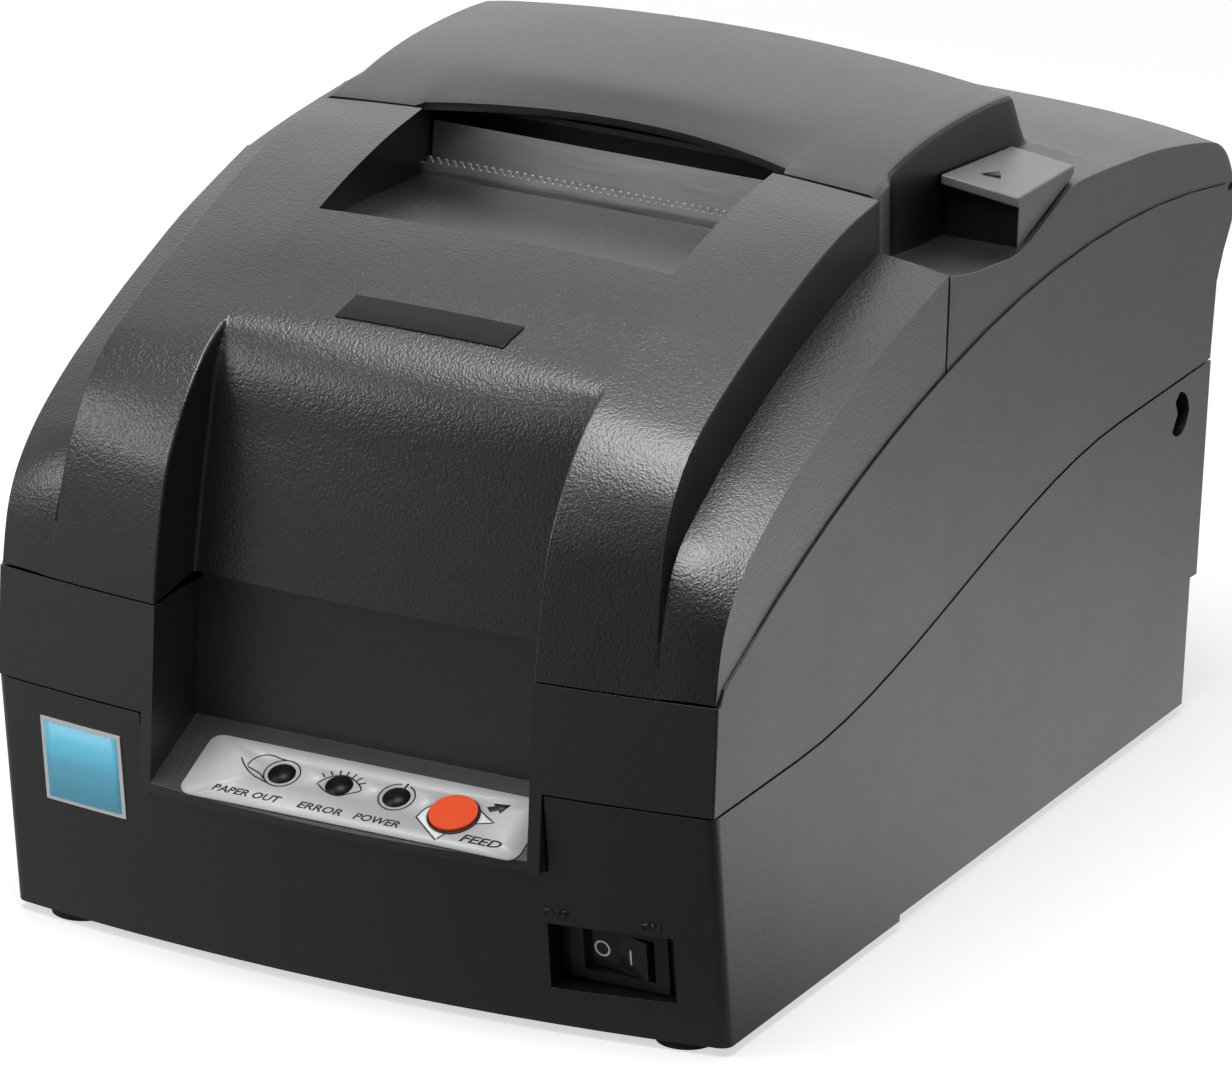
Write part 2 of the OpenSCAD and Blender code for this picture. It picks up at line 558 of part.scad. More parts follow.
// Places children on the raised top, Z out of it
module plate_frame() {
  m = circle_centre(panel_arc[0], panel_arc[1], panel_arc[2]);
  lean = asin((plate_y - m[0]) / norm(panel_arc[0] - m));
  translate([-1, m[0], m[1]]) rotate([-lean, 0, 0]) translate([0, 0, norm(panel_arc[0] - m)]) children();
}
module name_plate() {
  color([0.03, 0.03, 0.03]) plate_frame()
    translate([-plate_size[0] / 2, -plate_size[1] / 2, 0]) cube(plate_size);
}
module front_sticker() {
  color([0.45, 0.75, 0.90]) intersection() {
    difference() {
      behind_leaning_bow(-0.25);
      behind_leaning_bow(0.001);
    }
    box_at(-69.6, -50.2, front_y - 5, corner_y + 20, 28.5, 47.5);
  }
}
module control_label() {
  color([0.80, 0.80, 0.82]) panel_frame() difference() {
    translate([-37.5, -9.6, 0.62]) cube([76, 18.6, 0.35]);
    for (x = led_x) z_rod(2.9, x, 0, -8, 8);
    z_rod(button_d / 2 + 0.35, button_x, button_v, -8, 8);
  }
}
module led_lenses() {
  color([0.05, 0.05, 0.05]) panel_frame() for (x = led_x) {
    z_rod(2.8, x, 0, -2.1, 0.6);
    z_rod(3.4, x, 0, -3.6, -2.1);
  }
}
module panel_board() {
  color([0.05, 0.35, 0.20]) panel_frame() {
    difference() {
      box_at(-34, 36, -5.4, 7.5, -6.8, -5.4);
      z_rod(2.2, button_x, button_v, -8, -5);
    }
    for (x = led_x) z_rod(1.6, x, 0, -5.4, -3.6);
    for (x = [-30, 33]) z_rod(1.8, x, 0, -5.4, -2.0);
  }
}
module feed_button() {
  color([0.95, 0.35, 0.12]) panel_frame() {
    z_rod(button_d / 2, button_x, button_v, -1, 1.1 + button_travel);
    z_rod(button_d / 2 + 0.6, button_x, button_v, -2.7, -2.3);
    z_rod(1.6, button_x, button_v, -5.2, -1);
    z_rod(3, button_x, button_v, -2.9, -0.9);
  }
}
module switch_housing() {
  color([0.05, 0.05, 0.05]) switch_frame() difference() {
    union() {
      box_at(-rocker_w / 2 - 3.4, rocker_w / 2 + 3.4, switch_depth - 1.4, switch_depth, -rocker_h / 2 - 2.6,
        rocker_h / 2 + 2.6);
      box_at(-rocker_w / 2 - 1.8, rocker_w / 2 + 1.8, switch_depth - 0.2, switch_depth + 14,
        -rocker_h / 2 - 1.2, rocker_h / 2 + 1.2);
      for (x = [-5, 0, 5]) box_at(x - 0.4, x + 0.4, switch_depth + 13, switch_depth + 20, -2.4, 2.4);
    }
    box_at(-rocker_w / 2 - 0.35, rocker_w / 2 + 0.35, switch_depth - 3, switch_depth + 8,
      -rocker_h / 2 - 0.3, rocker_h / 2 + 0.3);
    translate([0, rocker_pivot, 0]) cylinder(r = 1 + run_clear, h = rocker_h + 2, center = true);
  }
}
rocker_pivot = switch_depth + 3;
rocker_tilt = -10;                // off: the left end is pressed in
module switch_rocker() {
  color([0.06, 0.06, 0.06]) switch_frame() translate([0, rocker_pivot, 0]) rotate([0, 0, rocker_tilt]) {
    // two faces that meet in a low ridge, over a round back
    linear_extrude(rocker_h, center = true) polygon([[-rocker_w / 2 + 0.5, 1.6], [-rocker_w / 2 + 0.2, -3.9],
      [0, -2.6 - rocker_w * 0.04], [rocker_w / 2 - 0.2, -3.9], [rocker_w / 2 - 0.5, 1.6]]);
    cylinder(r = 1, h = rocker_h + 1.9, center = true);
  }
}

// --- paper path ---
roller_y = -6.5;
roller_z = 101;
paper_y = roller_y - roller_d / 2 - 0.4;   // where the paper runs up in front of the roller
tear_half = window_w / 2 + 6.5;
frame_base_z = 54;
frame_top_z = 106;
sheet = 1.5;
side_x = frame_w / 2;
module tooth_row(x0, x1, pitch, height, y0, y1, z) {
  count = floor((x1 - x0) / pitch);
  translate([x0, y1, z]) rotate([90, 0, 0]) linear_extrude(y1 - y0) polygon(concat([[0, -height]],
    [for (i = [0:count - 1]) for (q = [[0.12, 0], [0.36, height], [0.64, height], [0.88, 0]])
      [pitch * (i + q[0]), q[1]]], [[pitch * count, -height]]));
}
module front_tear_bar() {
  color([0.78, 0.79, 0.80]) {
    box_at(-tear_half, tear_half, paper_y - 1.4, paper_y - 0.8, roller_z + 25, window_floor_rear_z + 1.9);
    tooth_row(-window_w / 2, window_w / 2, 1.8, 1, paper_y - 1.4, paper_y - 0.8, window_floor_rear_z + 2.4);
    both_sides() box_at(tear_half - 3, side_x - run_clear, paper_y - 1.4, paper_y - 0.8, frame_top_z - 6,
      roller_z + 27);
    both_sides() box_at(side_x - 1.2, side_x, paper_y - 9, paper_y - 1.2, roller_z + 2, frame_top_z - 0.5);
  }
}
module rear_tear_plate() {
  color([0.80, 0.81, 0.82]) {
    slab([[paper_y + 5.4, roller_z + 23], [paper_y + 6.2, roller_z + 23], [paper_y + 7.0, joint_z - 4.4],
      [paper_y + 6.0, joint_z - 3.8]], -window_w / 2 - 2, window_w / 2 + 2);
    box_at(-window_w / 2 - 2, window_w / 2 + 2, paper_y + 6, paper_y + 14, roller_z + 22, roller_z + 23);
  }
}
module platen_bar() {
  color([0.10, 0.10, 0.10])
    box_at(-cover_bushes[0] + 0.8, cover_bushes[0] - 0.8, paper_y + 0.4, paper_y + 8, roller_z + 9.5,
      roller_z + 21.8);
}
module feed_roller() {
  color([0.07, 0.07, 0.08]) difference() {
    x_rod(roller_d / 2, -39, 39, roller_y, roller_z);
    x_rod(roller_shaft_d / 2, -60, 60, roller_y, roller_z);
  }
}
module roller_shaft() {
  color([0.72, 0.73, 0.75]) x_rod(roller_shaft_d / 2, -side_x + 1.1, gear_x1 + 1, roller_y, roller_z);
}
bush_r = roller_shaft_d / 2 + 2;
module roller_bushes() {
  color([0.85, 0.82, 0.70]) both_sides() difference() {
    union() {
      x_rod(bush_r, cover_bushes[0] - 1, cover_bushes[1] - 0.1, roller_y, roller_z);
      x_rod(bush_r + 1.2, cover_bushes[0] - 2, cover_bushes[0] - 0.8, roller_y, roller_z);
    }
    x_rod(roller_shaft_d / 2 + run_clear, 0, 60, roller_y, roller_z);
  }
}
module roller_bracket() {
  color([0.62, 0.63, 0.65]) difference() {
    union() {
      both_sides() slab([[roller_y - 5.9, roller_z - 7], [roller_y + 7, roller_z - 7], [roller_y + 16,
        roller_z + 20],
        [roller_y + 16, deck_z + 4], [roller_y + 2, deck_z + 4], [roller_y - 6.6, roller_z + 22]],
        cover_bushes[0] - 0.8, cover_bushes[1] - 0.3);
      box_at(-cover_bushes[1] + 0.5, cover_bushes[1] - 0.5, roller_y + 8, roller_y + 16, roller_z + 20,
        roller_z + 21.2);
      box_at(-cover_bushes[1] + 0.5, cover_bushes[1] - 0.5, roller_y + 4, roller_y + 16, deck_z + 2.8,
        deck_z + 4);
      both_sides() box_at(30, 34, roller_y + 8, roller_y + 12, deck_z + 3.8, joint_z - 0.6);
      both_sides() box_at(cover_bushes[0] - 3, latch_x + 3, roller_y + 10, roller_y + 16, deck_z + 2.8,
        deck_z + 4);
      // ears that the latch bar turns in
      both_sides() box_at(latch_x - 6, latch_x + 1, roller_y + 14, latch_at[0] + 4, deck_z + 2.8, deck_z + 4);
      both_sides() box_at(latch_x - 5, latch_x - 3, latch_at[0] - 4, latch_at[0] + 4, latch_at[1] - 4,
        deck_z + 4);
    }
    x_rod(bush_r, -60, 60, roller_y, roller_z);
    x_rod(latch_r + run_clear, -60, 60, latch_at[0], latch_at[1]);
  }
}

// --- gears ---
gear_x0 = side_x + 4.5;
gear_x1 = gear_x0 + 4;
feed_teeth = 22;
idler_teeth = 24;
pinion_teeth = 12;
feed_pitch_r = gear_m * feed_teeth / 2;
idler_pitch_r = gear_m * idler_teeth / 2;
pinion_pitch_r = gear_m * pinion_teeth / 2;
idler_at = [roller_y, roller_z - feed_pitch_r - idler_pitch_r];
pinion_angle = 200;
pinion_at = idler_at + (idler_pitch_r + pinion_pitch_r) * [cos(pinion_angle), sin(pinion_angle)];
// Spur gear along X with a tooth at angle start, measured from +Y towards +Z
module gear(teeth, bore, start, x0, x1, at) {
  pitch_r = gear_m * teeth / 2;
  step = 360 / teeth;
  translate([x0, at[0], at[1]]) rotate([90, 0, 90]) difference() {
    linear_extrude(x1 - x0) polygon([for (i = [0:teeth - 1])
      for (q = [[-0.26, -1.15], [-0.10, 0.85], [0.10, 0.85], [0.26, -1.15]])
      let (a = start + step * (i + q[0]), r = pitch_r + gear_m * q[1]) r * [cos(a), sin(a)]]);
    translate([0, 0, -1]) cylinder(r = bore, h = x1 - x0 + 2);
  }
}
module roller_gear() {
  color([0.88, 0.88, 0.85]) gear(feed_teeth, roller_shaft_d / 2, -90, gear_x0, gear_x1, [roller_y, roller_z]);
}
idler_start = 90 + 180 / idler_teeth;
module idler_gear() {
  color([0.88, 0.88, 0.85]) gear(idler_teeth, 2.5 + run_clear, idler_start, gear_x0, gear_x1, idler_at);
}
module idler_post() {
  color([0.72, 0.73, 0.75]) {
    x_rod(2.5, side_x, gear_x1 + 0.6, idler_at[0], idler_at[1]);
    x_rod(4, side_x + sheet, gear_x0 - 0.3, idler_at[0], idler_at[1]);
    x_rod(3.4, gear_x1 + 0.4, gear_x1 + 1.2, idler_at[0], idler_at[1]);
  }
}
// The pinion shows a gap where the idler shows a tooth
idler_phase = (pinion_angle - idler_start) * idler_teeth / 360;
pinion_start = pinion_angle + 180 + (0.5 + (idler_phase - floor(idler_phase))) * 360 / pinion_teeth;
module motor_pinion() {
  color([0.85, 0.70, 0.35]) gear(pinion_teeth, 1.5 + run_clear, pinion_start, gear_x0 - 0.4, gear_x1 + 0.4, pinion_at);
}
motor_r = 15;
module feed_motor() {
  color([0.55, 0.56, 0.58]) {
    x_rod(motor_r, side_x - 20, side_x - 0.8, pinion_at[0], pinion_at[1]);
    x_rod(4, side_x - 0.8, side_x + sheet + 0.6, pinion_at[0], pinion_at[1]);
    x_rod(1.5, side_x, gear_x1 + 0.2, pinion_at[0], pinion_at[1]);
    box_at(side_x - 0.8, side_x, pinion_at[0] - motor_r - 4, pinion_at[0] + motor_r + 4, pinion_at[1] - 6,
      pinion_at[1] + 6);
  }
}
pinch_r = 4;
pinch_y = paper_y - 0.4 - pinch_r;
pinch_x = tear_half - 16;
module pinch_roller() {
  color([0.85, 0.85, 0.83]) for (x = [-pinch_x, 0, pinch_x]) difference() {
    x_rod(pinch_r, x - 7, x + 7, pinch_y, roller_z);
    x_rod(1.5 + run_clear, x - 8, x + 8, pinch_y, roller_z);
  }
}
module pinch_shaft() {
  color([0.72, 0.73, 0.75]) x_rod(1.5, -side_x - 1, side_x + 1, pinch_y, roller_z);
}

// --- frame and carriage ---
rod_y = -38;
rod_z = 98;
rail_y = -66;
frame_front = -72;
frame_rear = 6;
module mech_frame() {
  color([0.60, 0.61, 0.63]) difference() {
    union() {
      both_sides() box_at(side_x, side_x + sheet, frame_front, frame_rear, frame_base_z, frame_top_z);
      box_at(-side_x - sheet, side_x + sheet, frame_front, frame_rear, frame_base_z, frame_base_z + sheet);
      // flanges that rest on the middle case's ledges
      both_sides() box_at(side_x, half_w - 12, frame_front, frame_front + 12, ledge_z, ledge_z + sheet);
      both_sides() box_at(side_x, half_w - 12, rod_y + 2, rod_y + 14, ledge_z, ledge_z + sheet);
    }
    x_rod(rod_d / 2, -80, 80, rod_y, rod_z);
    x_rod(1.5, -80, 80, pinch_y, roller_z);
    x_rod(4 + 0.2, side_x - 1, side_x + 3, pinion_at[0], pinion_at[1]);
    x_rod(2.5, side_x - 1, side_x + 3, idler_at[0], idler_at[1]);
    // open slots that the feed roller's shaft drops into
    both_sides() box_at(side_x - 1, side_x + 3, roller_y - roller_shaft_d / 2 - 1.5,
      roller_y + roller_shaft_d / 2 + 0.6,
      roller_z - roller_shaft_d / 2 - 0.5, 120);
    box_at(-carriage_travel - 10, carriage_travel + 10, frame_front + 10, frame_rear - 24, 50, 70);
  }
}
module carriage_rod() {
  color([0.75, 0.76, 0.78]) x_rod(rod_d / 2, -side_x - 3, side_x + 3, rod_y, rod_z);
}
module guide_rail() {
  color([0.66, 0.67, 0.69]) {
    box_at(-side_x + 0.1, side_x - 0.1, rail_y - 1.4, rail_y + 4, 90, 91.2);
    box_at(-side_x + 0.1, side_x - 0.1, rail_y - 1.4, rail_y - 0.2, 84, 91.2);
    both_sides() box_at(side_x - 1.2, side_x, rail_y - 1.4, rail_y + 4, 82, 91.2);
  }
}
carriage_half = 11;
nose_y = paper_y - 0.9;
module carriage() {
  color([0.13, 0.13, 0.14]) difference() {
    union() {
      box_at(-carriage_half, carriage_half, rod_y - 8, rod_y + 8, rod_z - 5.6, rod_z + 7);
      box_at(-9, -1, rail_y - 3, rod_y, 92.4, 94.4);
      box_at(-8, -2, rail_y - 3, rail_y - 1.7, 86, 93);
      box_at(-9, -1, belt_y - 2.4, belt_y + 2.4, belt_z + pulley_r + 1.5, 93);
    }
    x_rod(rod_d / 2 + run_clear, -20, 20, rod_y, rod_z);
  }
}
module print_head() {
  color([0.30, 0.30, 0.32]) {
    box_at(-carriage_half + 1, carriage_half - 1, rod_y - 16, rod_y + 9, rod_z + 7, rod_z + 19);
    // cooling fins
    for (i = [0:5]) box_at(-carriage_half, carriage_half, rod_y - 16 + i * 3.2, rod_y - 14.8 + i * 3.2,
      rod_z + 8, rod_z + 21.5);
    slab([[rod_y + 8, rod_z + 8], [nose_y, roller_z + 12.5], [nose_y, roller_z + 17.5], [rod_y + 8,
      rod_z + 18]], -4, 4);
  }
}
module head_cable() {
  color([0.86, 0.86, 0.84]) box_at(1.5, 9.5, rod_y - 16.3, rod_y - 16, 40, rod_z + 18);
}
belt_y = -59;
belt_z = 80;
pulley_r = 5;
pulley_x = side_x - 9;
module drive_belt() {
  color([0.05, 0.05, 0.05]) difference() {
    hull_belt(pulley_r + 1.2);
    hull_belt(pulley_r + 0.02);
  }
}
// Stadium round both pulleys, seen from the front
module hull_belt(r) {
  thick = r > pulley_r + 1 ? 2.4 : 3.4;
  box_at(-pulley_x, pulley_x, belt_y - thick, belt_y + thick, belt_z - r, belt_z + r);
  both_sides() translate([pulley_x, belt_y, belt_z]) rotate([90, 0, 0]) cylinder(r = r, h = 2 * thick,
    center = true);
}
module belt_pulley(x) {
  translate([x, belt_y, belt_z]) rotate([90, 0, 0]) difference() {
    union() {
      cylinder(r = pulley_r, h = 5.2, center = true);
      for (s = [-1, 1]) translate([0, 0, s * 3.2]) cylinder(r = pulley_r + 1.8, h = 1, center = true);
    }
    cylinder(r = 1.2 + run_clear, h = 12, center = true);
    // keyway that shows its turn
    translate([pulley_r - 1.6, 0, 3.5]) cube([1.6, 1, 1.6], center = true);
  }
}
module drive_pulley() {
  color([0.80, 0.65, 0.35]) belt_pulley(pulley_x);
}
module idle_pulley() {
  color([0.85, 0.85, 0.83]) belt_pulley(-pulley_x);
}
module carriage_motor() {
  color([0.55, 0.56, 0.58]) {
    translate([pulley_x - 5.5, belt_y + 6.5, belt_z - 4]) rotate([-90, 0, 0]) cylinder(r = 12.5, h = 12);
    translate([pulley_x, belt_y - 4.4, belt_z]) rotate([-90, 0, 0]) cylinder(r = 1.2, h = 12);
    // stand down to the frame's floor, and the idle pulley's pin
    box_at(pulley_x - 16, pulley_x + 4, belt_y + 7, belt_y + 17, frame_base_z + sheet, belt_z - 8);
    translate([-pulley_x, belt_y - 4.4, belt_z]) rotate([-90, 0, 0]) cylinder(r = 1.2, h = 10);
    box_at(-pulley_x - 3, -pulley_x + 3, belt_y + 4.6, belt_y + 6.6, frame_base_z + sheet, belt_z + 3);
  }
}

// --- ribbon ---
ribbon_z0 = frame_top_z + 2;
ribbon_arm = [43, side_x + 1];
module ribbon_cartridge() {
  color([0.15, 0.15, 0.16]) difference() {
    union() {
      box_at(-56, 56, -98, frame_front - 1, ribbon_z0 - 12, ribbon_z0 + 1);
      both_sides() box_at(ribbon_arm[0], ribbon_arm[1], -74, paper_y - 3.4, ribbon_z0 - 2, ribbon_z0 + 11);
      both_sides() box_at(ribbon_arm[0], ribbon_arm[1], -78, frame_front - 1, ribbon_z0 - 6, ribbon_z0 + 11);
    }
    both_sides() box_at(ribbon_arm[0] - 1, ribbon_arm[0] + 2.4, paper_y - 12, paper_y - 3, ribbon_z0,
      ribbon_z0 + 9);
    both_sides() box_at(54, 60, -88, -80, ribbon_z0 - 10, ribbon_z0 - 2);
    z_rod(3 + run_clear, knob_at[0], knob_at[1], ribbon_z0 - 8, ribbon_z0 + 3);
    box_at(-52, 36, -95, frame_front - 4, ribbon_z0 - 10, ribbon_z0 - 1);
  }
}
knob_at = [44, -84];
module ribbon_band() {
  color([0.20, 0.05, 0.22]) box_at(-ribbon_arm[0] - 2, ribbon_arm[0] + 2, paper_y - 0.62, paper_y - 0.5,
    ribbon_z0 + 1, ribbon_z0 + 8);
}
module ribbon_knob() {
  color([0.20, 0.45, 0.75]) {
    z_rod(3, knob_at[0], knob_at[1], ribbon_z0 - 7.6, ribbon_z0 + 2);
    z_rod(6, knob_at[0], knob_at[1], ribbon_z0 + 1.4, ribbon_z0 + 3.4);
    box_at(knob_at[0] - 5, knob_at[0] + 5, knob_at[1] - 0.8, knob_at[1] + 0.8, ribbon_z0 + 3.2,
      ribbon_z0 + 4.6);
  }
}

// --- roll well, sensor and electronics ---
well_r = roll_d / 2 + 2;
well_half = paper_w / 2 + 1.5;
module paper_well() {
  color([0.16, 0.16, 0.17]) difference() {
    union() {
      x_rod(well_r + sheet, -well_half - sheet, well_half + sheet, well_y, well_z);
      // flanges on the middle case's ledges
      both_sides() box_at(well_half, half_w - 8, well_y - 20, well_y + 20, ledge_z, ledge_z + sheet);
    }
    x_rod(well_r, -well_half, well_half, well_y, well_z);
    box_at(-90, 90, well_y - 60, well_y + 60, well_z + 6, 200);
    box_at(-90, 90, well_y - 60, well_y - well_r + 5.5, well_z - 4, 200);
    // hole of the near-end sensor's finger
    x_rod(3, -90, 0, well_y + 12, well_z - 22);
  }
}
module paper_guide() {
  color([0.55, 0.56, 0.58]) {
    box_at(-well_half, well_half, roller_y, well_y - well_r + 1.4, roller_z - 10.2, roller_z - 9);
    intersection() {
      difference() {
        x_rod(10.2, -well_half, well_half, roller_y, roller_z);
        x_rod(9, -60, 60, roller_y, roller_z);
      }
      slab([[roller_y, roller_z], [roller_y, roller_z - 20], [roller_y - 20, roller_z - 20],
        [roller_y - 20, roller_z - 12]], -60, 60);
    }
    both_sides() box_at(well_half - 6, side_x, roller_y, roller_y + 8, roller_z - 11.4, roller_z - 10.2);
  }
}
module near_end_sensor() {
  color([0.12, 0.12, 0.13]) {
    box_at(-well_half - 12, -well_half - sheet, well_y + 4, well_y + 20, well_z - 30, well_z - 14);
    x_rod(2, -well_half - 3, -well_half + 1, well_y + 12, well_z - 22);
  }
}
module main_board() {
  color([0.05, 0.35, 0.20]) difference() {
    union() {
      box_at(-board_half, board_half, board_front, board_rear, board_z, port_z);
      // chips, capacitors and a heat sink
      box_at(-50, -28, -20, 2, port_z, port_z + 2);
      box_at(-12, 6, -40, -22, port_z, port_z + 1.6);
      for (x = [-20, -4, 12]) z_rod(5, x, 40, port_z, port_z + 14);
      for (i = [0:4]) box_at(28 + i * 5, 30 + i * 5, 10, 34, port_z, port_z + 12);
      box_at(27, 51, 10, 34, port_z, port_z + 2);
    }
    both_sides() for (y = [-board_hole[1], board_hole[1] - 12])
      z_rod(screw_r + 0.3, board_hole[0], y, 0, 60);
    both_sides() for (s = [-1, 1]) z_rod(post_r + 1.6, case_screw_at[0] - 4, s * case_screw_at[1], 0, 60);
    // clear of the power switch
    box_at(40, 80, board_front - 1, board_front + 10, 0, 60);
  }
}
module board_screws() {
  color([0.75, 0.75, 0.77]) both_sides() for (y = [-board_hole[1], board_hole[1] - 12]) {
    z_rod(screw_r, board_hole[0], y, case_bottom + 4, port_z + 0.2);
    z_rod(2.8, board_hole[0], y, port_z, port_z + 1.8);
  }
}
module case_screws() {
  color([0.70, 0.70, 0.72]) both_sides() for (s = [-1, 1]) difference() {
    union() {
      z_rod(screw_r, case_screw_at[0] - 4, s * case_screw_at[1], case_bottom + 6, 40);
      z_rod(2.9, case_screw_at[0] - 4, s * case_screw_at[1], case_bottom + 4.2, case_bottom + 6);
    }
    for (a = [0, 90]) translate([case_screw_at[0] - 4, s * case_screw_at[1], case_bottom + 4.2])
      rotate([0, 0, a]) cube([3.4, 0.8, 1.6], center = true);
  }
}
module rubber_feet() {
  color([0.06, 0.06, 0.06]) both_sides() for (s = [-1, 1])
    z_rod(foot_r, foot_at[0], s * foot_at[1], 0, case_bottom + 0.6);
}
port_rear = rear_wall_y - 0.6;
module interface_plate() {
  color([0.70, 0.71, 0.73]) difference() {
    union() {
      box_at(usb_x - 29.6, usb_x + 29.6, port_rear - 2.6, port_rear - 1.4, port_z - 3.6, port_z + 21.6);
      box_at(usb_x - 29.6, usb_x + 29.6, port_rear - 12, port_rear - 1.4, port_z - 0.0, port_z + 1.2);
    }
    box_at(usb_x - 6.3, usb_x + 6.3, port_rear - 20, port_rear + 5, port_z + 1.2, port_z + 12.4);
  }
}
module usb_socket() {
  color([0.80, 0.80, 0.82]) {
    difference() {
      box_at(usb_x - 6, usb_x + 6, port_rear - 17, port_rear - 0.4, port_z + 1.2, port_z + 12);
      box_at(usb_x - 4.3, usb_x + 4.3, port_rear - 10, port_rear + 1, port_z + 2.4, port_z + 10.2);
    }
    box_at(usb_x - 2.8, usb_x + 2.8, port_rear - 10.2, port_rear - 1.4, port_z + 2.5, port_z + 4.6);
  }
}
module drawer_socket() {
  color([0.08, 0.08, 0.08]) difference() {
    box_at(drawer_x - 7.6, drawer_x + 7.6, port_rear - 16, port_rear, port_z, port_z + 13.4);
    box_at(drawer_x - 5, drawer_x + 5, port_rear - 11, port_rear + 1, port_z + 3, port_z + 10);
    box_at(drawer_x - 2.2, drawer_x + 2.2, port_rear - 11, port_rear + 1, port_z + 1.4, port_z + 4);
  }
}
module power_inlet() {
  color([0.10, 0.10, 0.10]) {
    difference() {
      box_at(inlet_x - 8.6, inlet_x + 8.6, port_rear - 15, port_rear, port_z, port_z + 13.4);
      translate([inlet_x, port_rear - 9, port_z + 6.8]) rotate([-90, 0, 0]) cylinder(r = 5, h = 12);
    }
    for (x = [-2, 2]) translate([inlet_x + x, port_rear - 9.2, port_z + 8]) rotate([-90, 0,
      0]) cylinder(r = 0.6, h = 5);
    translate([inlet_x, port_rear - 9.2, port_z + 4.4]) rotate([-90, 0, 0]) cylinder(r = 0.6, h = 5);
  }
}

lower_case();
mid_case();
front_cover();
paper_cover();
cover_hinge_pin();
cover_lever();
lever_pin();
lever_spring();
latch_hooks();
name_plate();
front_sticker();
control_label();
led_lenses();
panel_board();
feed_button();
switch_housing();
switch_rocker();
front_tear_bar();
rear_tear_plate();
platen_bar();
feed_roller();
roller_shaft();
roller_bushes();
roller_bracket();
roller_gear();
idler_gear();
idler_post();
feed_motor();
motor_pinion();
pinch_roller();
pinch_shaft();
mech_frame();
carriage_rod();
guide_rail();
carriage();
print_head();
head_cable();
drive_belt();
drive_pulley();
idle_pulley();
carriage_motor();
ribbon_cartridge();
ribbon_band();
ribbon_knob();
paper_well();
paper_guide();
near_end_sensor();
main_board();
board_screws();
case_screws();
rubber_feet();
interface_plate();
usb_socket();
drawer_socket();
power_inlet();
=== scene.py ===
"""A desktop receipt printer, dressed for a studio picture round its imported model."""

import json
from math import atan, copysign, cos, pi, radians, sin, tan

import bmesh
import bpy
from mathutils import Matrix, Vector


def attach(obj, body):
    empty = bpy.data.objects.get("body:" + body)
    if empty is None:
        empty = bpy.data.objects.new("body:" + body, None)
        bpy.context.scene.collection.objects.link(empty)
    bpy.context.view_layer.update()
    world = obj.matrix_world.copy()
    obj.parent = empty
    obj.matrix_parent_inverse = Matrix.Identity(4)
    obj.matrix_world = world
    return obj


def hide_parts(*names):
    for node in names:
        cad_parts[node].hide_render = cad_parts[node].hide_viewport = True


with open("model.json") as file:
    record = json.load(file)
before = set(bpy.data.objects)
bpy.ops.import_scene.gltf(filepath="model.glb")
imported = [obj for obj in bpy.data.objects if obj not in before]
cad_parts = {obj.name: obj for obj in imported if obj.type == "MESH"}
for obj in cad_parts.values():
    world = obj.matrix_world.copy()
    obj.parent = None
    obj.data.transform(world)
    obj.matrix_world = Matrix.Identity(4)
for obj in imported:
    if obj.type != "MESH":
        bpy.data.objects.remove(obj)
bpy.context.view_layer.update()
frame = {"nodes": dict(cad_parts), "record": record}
nodes = frame["nodes"]
scene = bpy.context.scene

MM = 0.001


# ---------------------------------------------------------------- camera
IMAGE_W = 1232
SENSOR_W = 36
FOCAL_PX = 14000.45
AZIMUTH, ELEVATION, ROLL = radians(25.2331), radians(19.8811), radians(2.0457)
DISTANCE = 2851.826 * MM
TARGET = Vector((11.01, -24.806, 70.0)) * MM


def make_camera():
    """A long lens from the front right, a little above the printer."""
    back = Vector((sin(AZIMUTH) * cos(ELEVATION), -cos(AZIMUTH) * cos(ELEVATION), sin(ELEVATION)))
    right = Vector((cos(AZIMUTH), sin(AZIMUTH), 0))
    up = back.cross(right)
    rolled_right = right * cos(ROLL) + up * sin(ROLL)
    rolled_up = up * cos(ROLL) - right * sin(ROLL)
    data = bpy.data.cameras.new("camera")
    data.sensor_fit = "HORIZONTAL"
    data.sensor_width = SENSOR_W
    data.lens = SENSOR_W * FOCAL_PX / IMAGE_W
    data.clip_start, data.clip_end = 0.1, 20
    camera = bpy.data.objects.new("camera", data)
    turn = Matrix((rolled_right, rolled_up, back)).transposed().to_4x4()
    camera.matrix_world = Matrix.Translation(TARGET + back * DISTANCE) @ turn
    scene.collection.objects.link(camera)
    scene.camera = camera


make_camera()


# ---------------------------------------------------------------- materials
def new_finish(name, inputs):
    """An empty finish group: numbers go in, and a normal, a roughness and a tone come out."""
    group = bpy.data.node_groups.new(name, "ShaderNodeTree")
    for label, default in inputs.items():
        socket = group.interface.new_socket(label, in_out="INPUT", socket_type="NodeSocketFloat")
        socket.default_value = default
    group.interface.new_socket("Normal", in_out="OUTPUT", socket_type="NodeSocketVector")
    for label in ("Roughness", "Tone"):
        group.interface.new_socket(label, in_out="OUTPUT", socket_type="NodeSocketFloat")
    return group


